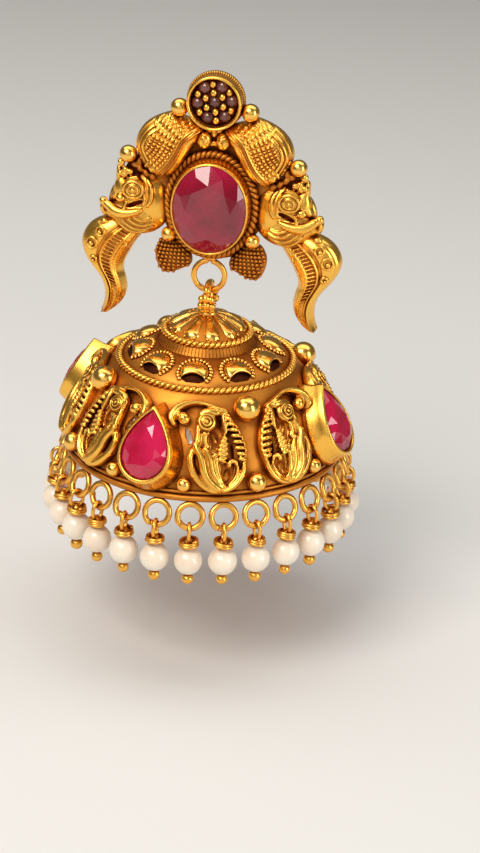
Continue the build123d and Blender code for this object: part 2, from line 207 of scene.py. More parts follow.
class Forms:
    """A growing mesh of simple closed forms; x is across, y is up and z is out of the surface."""

    def __init__(self):
        self.verts = np.zeros((0, 3))
        self.faces = []

    def add(self, verts, faces):
        start = len(self.verts)
        self.verts = np.vstack([self.verts, verts])
        self.faces += [tuple(start + i for i in f) for f in faces]
        return self

    def ball(self, x, y, z, radius, scale=(1, 1, 1), detail=3):
        verts, faces = BALLS[detail]
        return self.add(verts * np.array(scale) * radius + np.array([x, y, z]), faces)

    def tube(self, points, radii, sides=10, per_span=6, closed=False, flat=1.0, ref=(0, 0, 1)):
        """A round or flattened bar along a smooth curve, with rounded ends; ref is across its plane."""
        width = np.asarray(radii, float) if np.ndim(radii) else np.full(len(points), radii)
        path = catmull(columns(np.asarray(points, float), width), closed, per_span)
        centre, r = path[:, :3], path[:, 3].clip(0.02)
        ahead = np.roll(centre, -1, 0) - np.roll(centre, 1, 0)
        if not closed:
            ahead[0], ahead[-1] = centre[1] - centre[0], centre[-1] - centre[-2]
            run = run_along(centre)
            for s in (run, run[-1] - run):
                r = r * np.sqrt((1 - (1 - s / path[:, 3].clip(0.02)).clip(0, 1) ** 2).clip(0.04))
        side, out = axes_across(ahead, ref)
        a = full_turn(sides)
        ring = side[:, None] * np.cos(a)[None, :, None] + flat * out[:, None] * np.sin(a)[None, :, None]
        verts = (centre[:, None] + ring * r[:, None, None]).reshape(-1, 3)
        count = len(centre)
        faces = [(a, d, c, b) for a, b, c, d in quads(count, sides, rows_close=closed)]
        if not closed:
            faces.append(tuple(range(sides)))
            faces.append(tuple((count - 1) * sides + k for k in reversed(range(sides))))
        return self.add(verts, faces)

    def bars(self, rows):
        """Tubes from rows of (line, radii, flatness)."""
        for line, radii, flat in rows:
            self.tube(line, radii, flat=flat)

    def wire(self, points, radius, sides=10, ref=(0, 0, 1)):
        """A closed bar straight from point to point."""
        return self.tube(points, radius, sides, 1, True, ref=ref)

    def slab(self, outline, low, high, inset=0.0):
        """A plate with the given closed outline, from low to high, its top drawn in by inset."""
        p = np.asarray(outline, float)
        n = len(p)
        middle = p.mean(0)
        away = p - middle
        top = middle + away * (1 - inset / np.linalg.norm(away, axis=1).clip(0.01))[:, None]
        verts = np.vstack([columns(p, np.full(n, low)), columns(top, np.full(n, high))])
        return self.add(verts, capped(2, n))

    def join(self, other):
        return self.add(other.verts, other.faces)

    def mirrored(self):
        """A copy reflected left to right."""
        return Forms().add(self.verts * np.array([-1, 1, 1]), [tuple(reversed(f)) for f in self.faces])

    def mapped(self, place):
        """A copy whose vertices were moved by place, a function of rows of (x, y, z)."""
        return Forms().add(place(self.verts), self.faces)

    def melted(self, voxel, smooth, keep, recesses=None):
        """A copy run together into one skin, as casting does, then hollowed, smoothed and thinned out."""
        body = as_object("melt", self.verts, self.faces)
        remesh = body.modifiers.new("remesh", "REMESH")
        remesh.mode = "VOXEL"
        remesh.voxel_size = voxel
        tool = as_object("tool", recesses.verts, recesses.faces) if recesses else None
        if tool:
            subtract(body, tool)
        relax = body.modifiers.new("relax", "SMOOTH")
        relax.iterations = smooth
        relax.factor = 0.5
        body.modifiers.new("thin", "DECIMATE").ratio = keep
        result = body.evaluated_get(bpy.context.evaluated_depsgraph_get()).to_mesh()
        verts = np.zeros(len(result.vertices) * 3)
        result.vertices.foreach_get("co", verts)
        faces = [tuple(f.vertices) for f in result.polygons]
        body.to_mesh_clear()
        for used in filter(None, (body, tool)):
            discard(used)
        return Forms().add(verts.reshape(-1, 3), faces)


def rope(line, strand_offset, strand_radius, turns):
    """Two wires twisted round a closed line of points."""
    forms = Forms()
    side, out = axes_across(np.roll(line, -1, 0) - np.roll(line, 1, 0), (0, 0, 1))
    n = len(line)
    for strand in (0, 1):
        a = (np.arange(n) / n * turns * 2 * pi + pi * strand)[:, None]
        path = line + strand_offset * (np.cos(a) * side + np.sin(a) * out)
        forms.wire(path, strand_radius, 7)
    return forms


# ---- turning forms into pieces ----
def piece(name, forms, material, body, replaces=(), flat_shaded=False):
    """Makes a Blender object of forms whose vertices are already in the frame, in millimetres."""
    made = as_object(name, forms.verts * MM, forms.faces)
    mesh = made.data
    mesh.validate()
    mesh.update()
    bm = bmesh.new()
    bm.from_mesh(mesh)
    bmesh.ops.recalc_face_normals(bm, faces=bm.faces)
    bm.to_mesh(mesh)
    bm.free()
    if not flat_shaded:
        mesh.shade_smooth()
    mesh.materials.append(material)
    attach(made, body)
    if replaces:
        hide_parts(*replaces)
    return made


def bell_piece(name, forms, material):
    """A gold piece in the place of the CAD's bell."""
    return piece(name, forms, material, "bell", ("bell",))


# ---- where things are on the bell ----
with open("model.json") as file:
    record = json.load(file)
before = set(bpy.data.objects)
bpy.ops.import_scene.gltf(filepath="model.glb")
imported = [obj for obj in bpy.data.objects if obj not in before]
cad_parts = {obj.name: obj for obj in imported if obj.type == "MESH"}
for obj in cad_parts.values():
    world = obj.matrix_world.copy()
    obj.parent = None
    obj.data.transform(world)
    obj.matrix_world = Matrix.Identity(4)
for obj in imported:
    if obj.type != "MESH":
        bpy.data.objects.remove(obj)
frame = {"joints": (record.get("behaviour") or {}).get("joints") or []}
cad_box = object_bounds()
hinge = Vector(frame["joints"][0]["pos_m"]) / MM
AXIS_Y = hinge.y
RING_Z = hinge.z + RING_RADIUS
RIM_Z = RING_Z - RIM_BELOW_RING
OVAL_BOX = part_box("centre_ruby")
OVAL_Z = (OVAL_BOX[0].z + OVAL_BOX[1].z) / 2 / MM


def arc_through(a, b, c):
    """Centre and radius of the circle through three points."""
    d = 2 * (a[0] * (b[1] - c[1]) + b[0] * (c[1] - a[1]) + c[0] * (a[1] - b[1]))
    sa, sb, sc = (p[0] ** 2 + p[1] ** 2 for p in (a, b, c))
    x = (sa * (b[1] - c[1]) + sb * (c[1] - a[1]) + sc * (a[1] - b[1])) / d
    y = (sa * (c[0] - b[0]) + sb * (a[0] - c[0]) + sc * (b[0] - a[0])) / d
    return x, y, hypot(a[0] - x, a[1] - y)


BAND_X, BAND_Y, BAND_R = arc_through(RIM, BELLY, SHOULDER)
BAND_START = atan2(RIM[1] - BAND_Y, RIM[0] - BAND_X)


def turned(azimuth, radius, height):
    """Rows of world points from azimuths in degrees, radii from the axis and heights over the rim."""
    a = np.radians(azimuth)
    return columns(radius * np.sin(a), AXIS_Y - radius * np.cos(a), RIM_Z + height)


def on_band(azimuth, mirror=False):
    """Maps (across, up the slope from the rim, out of the sheet) to the band, centred on an azimuth."""
    def place(v):
        angle = BAND_START + v[:, 1] / BAND_R
        reach = BAND_R + v[:, 2]
        across = -v[:, 0] if mirror else v[:, 0]
        local_radius = BAND_X + BAND_R * np.cos(angle)
        return turned(azimuth + np.degrees(across / local_radius),
                      BAND_X + reach * np.cos(angle), BAND_Y + reach * np.sin(angle))
    return place


def swung(azimuth, across, out, height):
    """World points from distances across and out along an azimuth, and heights over the rim."""
    a = radians(azimuth)
    return columns(across * cos(a) + out * sin(a),
                            AXIS_Y + across * sin(a) - out * cos(a), RIM_Z + height)


def on_roof(azimuth):
    """Maps (across, up the slope, out) to the sloping shoulder; up is 0 at ROOF_MIDDLE."""
    run, rise = SHOULDER[0] - DRUM[0], DRUM[1] - SHOULDER[1]
    length = hypot(run, rise)
    cos_s, sin_s = run / length, rise / length
    middle_height = SHOULDER[1] + (SHOULDER[0] - ROOF_MIDDLE) * rise / run

    def place(v):
        radius = ROOF_MIDDLE - v[:, 1] * cos_s + v[:, 2] * sin_s
        return swung(azimuth, v[:, 0], radius, middle_height + v[:, 1] * sin_s + v[:, 2] * cos_s)
    return place


def on_axis(v):
    """Maps points about the bell's axis, with heights over the rim, to the frame."""
    return v + np.array([0, AXIS_Y, RIM_Z])


def on_stud(v):
    """Maps (across, up from the oval's centre, out from the back plane) to the stud plate."""
    return columns(v[:, 0], -v[:, 2], OVAL_Z + v[:, 1])


# ---- materials ----
def new_material(name):
    """A new material, its node tree and its principled shader."""
    material = bpy.data.materials.new(name)
    material.use_nodes = True
    tree = material.node_tree
    return material, tree, tree.nodes["Principled BSDF"]


def feed(tree, node, inputs):
    """Links each input that comes from a socket, and sets the others."""
    for key, value in inputs.items():
        if isinstance(value, bpy.types.NodeSocket):
            tree.links.new(value, node.inputs[key])
        else:
            node.inputs[key].default_value = value


def add_node(tree, kind, inputs, **settings):
    """A new node with its settings and inputs."""
    node = tree.nodes.new(kind)
    for key, value in settings.items():
        setattr(node, key, value)
    feed(tree, node, inputs)
    return node


def ramp(tree, factor, stops):
    """A colour ramp from (position, colour) stops."""
    node = add_node(tree, "ShaderNodeValToRGB", {"Fac": factor})
    elements = node.color_ramp.elements
    while len(elements) < len(stops):
        elements.new(0.5)
    for element, (position, colour) in zip(elements, stops):
        element.position = position
        element.color = (*colour, 1.0)
    return node.outputs["Color"]


def noise(tree, scale, detail):
    """Noise in the object's own space."""
    place = add_node(tree, "ShaderNodeTexCoord", {}).outputs["Object"]
    inputs = {"Vector": place, "Scale": scale, "Detail": detail}
    return add_node(tree, "ShaderNodeTexNoise", inputs).outputs["Fac"]


def maths(tree, operation, *values):
    """The result of an operation on sockets or numbers."""
    return add_node(tree, "ShaderNodeMath", dict(enumerate(values)), operation=operation).outputs[0]


def bump(tree, strength, depth, height, **normal):
    """A bump of the given depth in millimetres, over another bump if one is given as Normal."""
    inputs = {"Strength": strength, "Distance": depth * MM, "Height": height, **normal}
    return add_node(tree, "ShaderNodeBump", inputs).outputs[0]


def gold(name, bright, patina_and_shade, roughness, recess=0.55, dent=0.1, dull=0.58):
    """Antique gold: bright on what stands proud, red-brown where polish never reaches, and darker still in
    closed-in hollows as painted shade.

    recess is how far off, in millimetres, a neighbour still shades a spot; dull is the roughness in hollows.
    """
    material, tree, shader = new_material(name)
    hollow = add_node(tree, "ShaderNodeAmbientOcclusion", {"Distance": recess * MM}, samples=8).outputs["AO"]
    cloud, fine = noise(tree, scale=900.0, detail=4.0), noise(tree, scale=5200.0, detail=5.0)
    mottled = maths(tree, "MULTIPLY", maths(tree, "SUBTRACT", cloud, 0.5), 0.45)
    open_air = maths(tree, "ADD", hollow, mottled)
    # painted shade: where ambient occlusion finds a spot closed in, the colour runs down to about a third of
    # the second colour
    deep = tuple(0.35 * c for c in patina_and_shade)
    middle = tuple(0.45 * a + 0.55 * b for a, b in zip(bright, patina_and_shade))
    colour = ramp(tree, open_air, [(0.18, deep), (0.42, patina_and_shade), (0.66, middle), (0.86, bright)])
    polish = add_node(tree, "ShaderNodeMapRange", {"Value": open_air, "From Min": 0.35, "From Max": 0.9,
                                                   "To Min": dull, "To Max": roughness}).outputs[0]
    worn = maths(tree, "ADD", polish, maths(tree, "MULTIPLY", fine, 0.10))
    broad = bump(tree, dent, depth=0.12, height=cloud, Normal=bump(tree, dent, depth=0.03, height=fine))
    feed(tree, shader, {"Base Color": colour, "Roughness": worn, "Normal": broad, "Metallic": 1.0})
    return material


def stone(name, body, painted_glint, roughness):
    """A faceted stone: deep colour with painted reflections and shade, in lighter and darker patches for the
    light that gathers under its facets, and faint silk.
    """
    material, tree, shader = new_material(name)
    shade_and_glint_noise, silk = noise(tree, scale=210.0, detail=2.0), noise(tree, scale=3200.0, detail=3.0)
    # painted reflections and shade: noise sets darker patches and patches of the lighter third colour, for
    # light gathered under the facets
    both = maths(tree, "MULTIPLY_ADD", silk, 0.25, shade_and_glint_noise)
    dark = tuple(0.6 * c for c in body)
    colour = ramp(tree, both, [(0.42, dark), (0.6, body), (0.82, painted_glint)])
    worn = bump(tree, 0.05, depth=0.02, height=silk)
    feed(tree, shader, {"Base Color": colour, "Normal": worn, "Roughness": roughness, "IOR": 1.76,
                        "Specular IOR Level": 0.4, "Coat Weight": 0.15, "Coat Roughness": 0.03})
    return material


def nacre(name):
    """Cream pearl: soft lustre, faint rose and green tints, and slight pits."""
    material, tree, shader = new_material(name)
    tints = [(0.3, (0.84, 0.69, 0.53)), (0.5, (0.88, 0.76, 0.61)), (0.7, (0.87, 0.79, 0.66))]
    pits = bump(tree, 0.12, depth=0.05, height=noise(tree, scale=2600.0, detail=3.0))
    colour = ramp(tree, noise(tree, scale=420.0, detail=2.0), tints)
    feed(tree, shader, {"Base Color": colour, "Normal": pits, "Roughness": 0.32, "Subsurface Weight": 0.25,
                        "Subsurface Radius": (0.6 * MM, 0.35 * MM, 0.25 * MM), "Subsurface Scale": 1.0,
                        "Coat Weight": 0.7, "Coat Roughness": 0.12, "Sheen Weight": 0.25})
    return material


# in every gold below, the hollows are darkened by ambient occlusion, partly as real patina and partly as
# painted shade
GOLD = gold("antique_gold", (1.0, 0.55, 0.09), (0.41, 0.098, 0.011), 0.22)
RELIEF_GOLD = gold("relief_gold", (0.97, 0.53, 0.088), (0.35, 0.078, 0.009), 0.2, 0.75, 0.07, 0.42)
GROUND_GOLD = gold("ground_gold", (0.46, 0.15, 0.024), (0.16, 0.035, 0.006), 0.5, 0.95)
# painted shade: a near-black gold for the floors of hollows, standing for the shadow in them
SHADE_GOLD = gold("painted_shade_gold", (0.09, 0.022, 0.008), (0.035, 0.01, 0.005), 0.6)
DARK_GOLD = gold("patinated_gold", (0.63, 0.24, 0.033), (0.22, 0.048, 0.007), 0.42, 1.1)
WIRE_GOLD = gold("wire_gold", (0.93, 0.48, 0.085), (0.41, 0.115, 0.015), 0.24, 0.4, 0.12)
POLISHED_GOLD = gold("polished_gold", (1.0, 0.58, 0.125), (0.66, 0.22, 0.028), 0.17, 0.4, 0.02, 0.3)
CUP_GOLD = gold("cup_gold", (0.24, 0.06, 0.032), (0.1, 0.024, 0.014), 0.5)
ROOF_GOLD = gold("roof_gold", (0.74, 0.30, 0.046), (0.27, 0.066, 0.009), 0.42, 1.0)
# the third colour of each stone is its painted reflection, laid on in patches by noise
RUBY = stone("ruby", (0.26, 0.001, 0.02), (0.37, 0.004, 0.04), 0.06)
PEAR_RUBY = stone("pear_ruby", (0.42, 0.002, 0.034), (0.58, 0.008, 0.07), 0.07)
CLUSTER_STONE = stone("cluster_stone", (0.14, 0.032, 0.026), (0.36, 0.13, 0.11), 0.12)
PEARL = nacre("pearl")


# ---- the bell ----
def between(low, high, count):
    """Points on the straight line from low to high, without low itself."""
    return [tuple(a + (b - a) * t for a, b in zip(low, high)) for t in np.linspace(0, 1, count)[1:]]


def bell_profile():
    """Radius and height of the outside of the bell's sheet, from the rim up to the crown."""
    end = atan2(SHOULDER[1] - BAND_Y, SHOULDER[0] - BAND_X)
    angles = np.linspace(BAND_START, end, 34)
    rows = [(BAND_X + BAND_R * cos(a), BAND_Y + BAND_R * sin(a)) for a in angles]
    rows += between(SHOULDER, DRUM, 12) + between(DRUM, CROWN, 6)
    for t in np.linspace(0, 1, 10)[1:]:
        rows.append((CROWN[0] * (1 - t) + 0.5 * t, CROWN[1] + (DOME - CROWN[1]) * sin(t * pi / 2)))
    return np.array(rows)


def bell_sheet():
    """The spun sheet of the bell: its outside, its inside, and the edges between them."""
    rows = bell_profile()
    away = columns(np.gradient(rows[:, 1]), -np.gradient(rows[:, 0]))
    away /= np.linalg.norm(away, axis=1)[:, None]
    inside = rows - away * SHEET
    inside[:, 0] = inside[:, 0].clip(0.3)
    loop = np.vstack([rows, inside[::-1]])
    return turned_solid(loop, 300)


def turned_solid(loop, around):
    """The ring swept by a closed loop of (radius, height over the rim) round the bell's axis."""
    ring = circle(1.0, 0.0, around)
    verts = np.vstack([ring * np.array([r, r, 0]) + np.array([0, 0, h]) for r, h in loop])
    return Forms().add(on_axis(verts), quads(len(loop), around, rows_close=True))


# openings through the sheet at one peacock: across, up the band, half width, half height, lean in degrees
WINDOWS = [
    (-2.95, 6.3, 0.3, 0.85, 14),
    (-0.42, 6.15, 0.44, 0.8, 24),
    (0.75, 2.35, 0.46, 0.8, -14),
    (1.36, 4.7, 0.24, 0.8, 6),
    (0.15, 7.6, 0.24, 0.55, 6),
]
# hollows sunk into one peacock's body, given alike
RECESSES = [
    (-0.42, 6.15, 0.38, 0.74, 24),
    (0.75, 2.35, 0.4, 0.74, -14),
    (1.36, 4.7, 0.18, 0.75, 6),
    (0.15, 7.6, 0.19, 0.5, 6),
]


def peacock_places():
    """Number of the quarter, side of its pear stone (1 is right) and azimuth, for each peacock."""
    return [(quarter, side, FIRST_RUBY + quarter * 90 + side * PEACOCK_OFFSET)
            for quarter in range(QUADRANTS) for side in (1, -1)]


def window_cutters():
    """Prisms through the band where the casting is open."""
    forms = Forms()
    for _, side, azimuth in sorted(peacock_places()):
        for window in WINDOWS:
            prism = Forms().slab(leaning_ellipse(*window), -1.6, 1.2)
            forms.join(prism.mapped(on_band(azimuth, side < 0)))
    return forms


def cut(body_piece, cutter_forms):
    """Takes the cutter's closed forms out of a piece."""
    cutter = piece("cutter", cutter_forms, GOLD, "bell")
    subtract(body_piece, cutter)
    result = body_piece.evaluated_get(bpy.context.evaluated_depsgraph_get())
    mesh = bpy.data.meshes.new_from_object(result)
    body_piece.modifiers.clear()
    body_piece.data = mesh
    bpy.data.objects.remove(cutter)


PEACOCK_CURL = [(0.85, 8.3), (0.65, 8.75), (0.0, 9.0), (-0.75, 9.33), (-1.4, 9.52), (-2.1, 9.6), (-2.8, 9.45),
                (-3.5, 9.1), (-4.05, 8.6), (-4.42, 7.95), (-4.4, 7.4), (-4.0, 7.1)]
PEACOCK_BODY = [(-2.2, 5.9), (-2.35, 5.4), (-2.62, 4.8), (-2.83, 4.0), (-2.77, 3.15), (-2.5, 2.6),
                (-2.1, 2.1), (-1.5, 1.4), (-0.5, 0.85), (0.6, 0.75), (1.3, 0.95), (1.95, 1.45), (2.5, 2.3),
                (2.75, 3.3), (2.85, 4.2), (2.82, 5.3), (2.5, 6.3), (1.95, 7.3), (1.35, 8.2), (0.8, 8.85),
                (0.0, 9.1), (-1.0, 8.85), (-1.9, 8.3), (-2.1, 7.4), (-2.15, 6.5)]
# each feather: its line, its greatest half width, and how far it stands over the others
FEATHERS = [
    ([(-2.4, 5.1), (-2.72, 4.3), (-2.72, 3.4), (-2.45, 2.65), (-2.0, 2.0), (-1.4, 1.4), (-0.6, 1.0),
      (0.3, 0.88)], 0.42, 0.0),
    ([(-2.2, 5.8), (-2.12, 5.1), (-1.75, 4.4), (-1.55, 3.7), (-1.45, 3.0), (-1.2, 2.3), (-0.75, 1.7),
      (-0.2, 1.25), (0.3, 1.05)], 0.48, 0.22),
    ([(-1.5, 5.25), (-1.05, 4.6), (-0.82, 3.9), (-0.7, 3.1), (-0.45, 2.4), (0.0, 1.7), (0.45, 1.2)], 0.33,
     0.14),
    ([(-0.45, 4.75), (-0.28, 4.0), (-0.2, 3.2), (-0.05, 2.5), (0.25, 1.8), (0.65, 1.2)], 0.26, 0.08),
]
# the ribbed back: middle of each rib and its length
RIBS = [(1.0, 7.95, 0.5), (1.28, 7.4, 0.8), (1.52, 6.83, 1.02), (1.74, 6.25, 1.15), (1.95, 5.65, 1.2),
        (2.12, 5.05, 1.18), (2.22, 4.47, 1.05), (2.28, 3.95, 0.8)]
BODY_TOP = 0.3                 # height of the body's floor over the sheet, between its raised parts


def raised(points, lift):
    """The given (across, up) points at a height over the body's floor."""
    return [(x, y, BODY_TOP + lift) for x, y in points]


# bars of the head, neck and breast: line, lift over the floor, radii along it, and flatness
NECK = [
    ([(-1.85, 8.15), (-1.3, 8.58), (-0.5, 8.68), (0.3, 8.5)], 0.4, (0.24, 0.36, 0.42, 0.3), 1.3),
    ([(-1.8, 7.4), (-1.95, 6.8), (-1.95, 6.2), (-2.1, 5.5)], 0.3, (0.34, 0.32, 0.34, 0.36), 1.4),
    ([(-1.2, 6.75), (-1.35, 6.2), (-1.3, 5.6), (-0.9, 5.1)], 0.22, (0.4, 0.36, 0.3, 0.22), 1.2),
]
NAPE = [
    ([(-1.55, 6.6), (-1.15, 6.5), (-0.85, 6.65)], 0.55, (0.14, 0.17, 0.13), 1.2),
    ([(0.62, 8.6), (0.55, 8.1), (0.62, 7.4), (0.7, 6.8), (0.62, 6.35)], 0.35,
     (0.24, 0.28, 0.28, 0.24, 0.16), 1.5),
]
# the curls under the tail
TAIL = [
    ([(2.45, 3.7), (2.45, 3.1), (2.3, 2.5), (2.0, 1.95), (1.55, 1.45), (1.05, 1.12), (0.2, 0.86)], 0.25,
     (0.24, 0.27, 0.3, 0.32, 0.31, 0.28, 0.22), 1.7),
    ([(1.8, 3.4), (1.84, 2.9), (1.66, 2.3), (1.28, 1.75), (0.85, 1.38)], 0.25,
     (0.14, 0.18, 0.19, 0.18, 0.14), 1.7),
    ([(1.8, 3.3), (1.62, 3.72), (1.2, 3.8), (0.95, 3.5), (1.1, 3.2)], 0.35,
     (0.16, 0.2, 0.25, 0.24, 0.22), 1.4),
]
CURL_RADII = (0.3, 0.28, 0.25, 0.23, 0.22, 0.25, 0.3, 0.37, 0.44, 0.48, 0.46, 0.3)


def peacock_forms():
    """One peacock facing left, in millimetres across from its middle and up from the rim."""
    f = Forms()

    def bars(rows):
        f.bars([(raised(line, lift), radii, flat) for line, lift, radii, flat in rows])

    f.slab(PEACOCK_BODY, -0.5, BODY_TOP, inset=0.1)
    bars([(PEACOCK_CURL, 0.25, CURL_RADII, 2.0)])
    f.ball(-3.3, 7.88, 0.7, 0.64)
    f.ball(-1.1, 7.72, 0.5, 1.02, (1.0, 1.04, 0.75))
    bars(NECK)
    f.ball(-1.7, 5.95, BODY_TOP, 0.62, (0.75, 1.5, 0.75))
    bars(NAPE)
    edge = [(0.95, 8.5)] + [(x + 0.42 * length, y) for x, y, length in RIBS] + [(2.5, 3.4)]
    bars([(edge, 0.1, 0.2, 2.4)])
    for x, y, length in RIBS:
        half = length / 2 - 0.02
        rib = [(x - half, y + 0.07, 0.35), (x, y, 0.66), (x + half, y - 0.1, 0.3)]
        f.tube([(x, y, BODY_TOP + z) for x, y, z in rib], 0.2, flat=1.3)
    for k in range(6):
        x, y = 0.24 + 0.066 * k, 3.95 + 0.43 * k
        half = 0.56 - 0.045 * abs(k - 2) ** 1.5
        chevron = [(x - half, y + 0.36 * half), (x, y), (x + half, y - 0.6 * half)]
        f.tube(raised(chevron, 0.42), (0.17, 0.22, 0.17), sides=8, flat=2.2)
    for line, half_width, lift in FEATHERS:
        share = [i / (len(line) - 1) for i in range(len(line))]
        radii = [half_width * (0.4 + 0.6 * sin(pi * (0.15 + 0.7 * s))) for s in share]
        bars([(line, 0.25 + lift, radii, 1.5)])
    bars(TAIL)
    return f


def flat_ring(centre, half_w, half_h, height, count):
    """A level ellipse of points, for a wire."""
    return columns(ellipse(half_w, half_h, count, centre), np.full(count, height))


def peacock_eye():
    """Two rings and a bead on the peacock's head."""
    f = Forms()
    for radius, wire, out in ((0.7, 0.13, 1.13), (0.38, 0.1, 1.27)):
        f.wire(flat_ring((-1.08, 7.62), radius, radius, out, 24), wire, 6)
    return f.ball(-1.08, 7.62, 1.28, 0.18, detail=2)


def make_peacocks():
    """Eight cast peacocks in mirrored pairs, the ground under each, and near-black floors in its hollows that
    paint their shadow.
    """
    hollows = Forms()
    for recess in RECESSES:
        hollows.slab(leaning_ellipse(*recess), -0.32, 3.0)
    cast = peacock_forms().melted(VOXEL, smooth=4, keep=0.42, recesses=hollows)
    cast.join(peacock_eye())
    body = np.array(PEACOCK_BODY)
    ground = Forms().slab(body.mean(0) + 0.97 * (body - body.mean(0)), 0.0, BODY_TOP + 0.05)
    ground = ground.melted(VOXEL, smooth=0, keep=0.12, recesses=hollows)
    floors, grounds = Forms(), Forms()
    for quarter, side, azimuth in peacock_places():
        shape, under = (cast, ground) if side > 0 else (cast.mirrored(), ground.mirrored())
        hand = "right" if side > 0 else "left"
        bell_piece(f"peacock_{hand}_{quarter + 1}", shape.mapped(on_band(azimuth)), RELIEF_GOLD)
        grounds.join(under.mapped(on_band(azimuth)))
        for across, up, half_w, half_h, lean in RECESSES:
            # a near-black plate a little wider than each hollow, as painted shadow
            floor = Forms().slab(leaning_ellipse(across, up, half_w + 0.06, half_h + 0.06, lean), -0.4, -0.24)
            floors.join(floor.mapped(on_band(azimuth, side < 0)))
    bell_piece("peacock_grounds", grounds, GROUND_GOLD)
    bell_piece("peacock_hollow_shadows", floors, SHADE_GOLD)


def band_balls():
    """Solder balls between the peacocks and beside the pear stones."""
    f = Forms()
    balls = ((45.0, 8.85, 1.36), (45.0, 1.5, 1.0), (15.5, 1.4, 0.76), (-15.5, 1.4, 0.76))
    for pear in PEARS:
        for beside, up, radius in balls:
            at = on_band(pear + beside)(np.array([[0, up, 0.55 * radius]]))[0]
            f.ball(*at, radius, detail=4)
    return f


# section across a half moon: share of the way from its round edge to its lip, and of its crest's height
HOOD = [(0.0, -0.1), (0.0, 0.1), (0.12, 0.5), (0.3, 0.78), (0.55, 0.95), (0.8, 1.0), (0.95, 0.99),
        (1.0, 0.93), (1.03, 0.56), (0.97, 0.5), (0.6, 0.6), (0.25, 0.42), (0.12, 0.1), (0.12, -0.1)]
HOOD_RADIUS = 1.5


def spread(low, high, count):
    """Angles from low to high, given in degrees."""
    return np.linspace(radians(low), radians(high), count)


def arc(radius, angles):
    """Points on a circle about the origin."""
    return [(radius * cos(a), radius * sin(a)) for a in angles]


def moon_hood():
    """A hollow crescent: a polished dome, thick at its lower lip and standing on its round edge."""
    count = 33
    outer = np.array(arc(HOOD_RADIUS, spread(-36, 216, count)))
    lip_x = np.linspace(outer[0, 0], outer[-1, 0], count)
    lip = columns(lip_x, np.sqrt(1.9 ** 2 - lip_x ** 2) - 2.35)
    crest = 0.3 + 0.55 * np.sin(np.linspace(0, pi, count)) ** 0.7
    rows = [columns(outer * (1 - s) + lip * s, crest * h) for s, h in HOOD]
    faces = quads(len(HOOD), count, rows_close=True, row_closes=False)
    for k in (0, count - 1):
        faces.append(tuple(i * count + k for i in range(len(HOOD))))
    return Forms().add(np.vstack(rows), faces)


def half_moons():
    """Crescents, round side to the crown, each in a milled border; and the near-black floors under them,
    which paint the shadow in their hollows.
    """
    moons, floors = Forms(), Forms()
    one = Forms().join(moon_hood())
    sweep = spread(-34, 214, 19)
    one.slab(arc(1.74, sweep), -0.3, 0.06, inset=0.05)
    for a in sweep:
        x, y = cos(a), sin(a)
        one.tube([(1.46 * x, 1.46 * y, 0.16), (1.97 * x, 1.97 * y, 0.08)], 0.2, sides=7, per_span=4)
    # the near-black plate in each crescent's hollow is painted shadow
    floor = Forms().slab(arc(1.46, spread(-62, 242, 24)), -0.1, 0.1)
    for k in range(MOONS):
        place = on_roof(360.0 / MOONS * k)
        moons.join(one.mapped(place))
        floors.join(floor.mapped(place))
    return moons, floors


def roof_ground():
    """The ground between the half moons, a hair over the bell's own sheet."""
    rows = [(9.05, 0.03), (7.1, 0.05), (5.2, 0.03), (5.2, -0.1), (9.05, -0.1)]
    slope = (DRUM[1] - SHOULDER[1]) / (DRUM[0] - SHOULDER[0])
    return turned_solid([(r, SHOULDER[1] + (r - SHOULDER[0]) * slope + lift) for r, lift in rows], 120)


def crown_flutes():
    """Fine upright flutes on the crown's wall."""
    f = Forms()
    radius, height = np.array([DRUM[0] + 0.02, CROWN[0] + 0.02]), np.array([DRUM[1] - 0.02, CROWN[1] + 0.05])
    for k in range(FLUTES):
        f.tube(turned(np.full(2, 360 / FLUTES * k), radius, height), 0.14, sides=6, per_span=1)
    return f


def lotus_crown():
    """Broad petals over the crown's dome with a fine rib between each two, and the collar under the loop."""
    f = Forms()
    rows = np.array([(0.85, 14.4), (1.8, 14.05), (2.8, 13.5), (3.6, 12.95), (4.15, 12.65)])
    for k in range(MOONS):
        azimuth = 360.0 / MOONS * (k + 0.5)
        path = turned(np.full(5, azimuth), rows[:, 0], rows[:, 1])
        f.tube(path, (0.22, 0.5, 0.78, 0.95, 0.6), sides=18, flat=0.62)
        for shift in (-9, 9):
            edge = turned(azimuth + shift * np.array([1.0, 1.0, 1.0, 0.9]), rows[1:, 0], rows[1:, 1] + 0.3)
            f.tube(edge, (0.08, 0.12, 0.14, 0.1), sides=7)
    return f.wire(on_axis(circle(0.75, DOME + 0.1, 24)), 0.34)


# granules soldered round the loop: angle, radius, and how far the pair beside each one spreads
GRANULES = [(38, 0.42, 0.0), (6, 0.48, 0.48), (-24, 0.48, 0.56), (-52, 0.42, 0.4), (-78, 0.34, 0.28)]


def bell_loop():
    """Upright loop in the stud's ring, with granules soldered round its outside."""
    loop_radius, wire = 1.32, 0.35
    centre = hinge.z + RING_WIRE + 0.08 - (loop_radius - wire)
    f = Forms()
    a = full_turn(36)
    path = columns(np.zeros(36), AXIS_Y + loop_radius * np.cos(a), centre + loop_radius * np.sin(a))
    f.wire(path, wire, ref=(1, 0, 0))
    for side in (-1, 1):
        for degrees, radius, beside in GRANULES:
            y = AXIS_Y + side * (loop_radius + 0.2) * cos(radians(degrees))
            z = centre + (loop_radius + 0.2) * sin(radians(degrees))
            f.ball(0, y, z, radius)
            for x in ((-beside, beside) if beside else ()):
                f.ball(x, y - side * 0.12, z - 0.14, radius * 0.82)
    f.tube([(0, AXIS_Y, RIM_Z + 14.2), (0, AXIS_Y, RIM_Z + 15.1)], 0.62, ref=(1, 0, 0))
    f.ball(0, AXIS_Y, RIM_Z + 14.85, 0.78, (1, 1, 0.7))
    return f


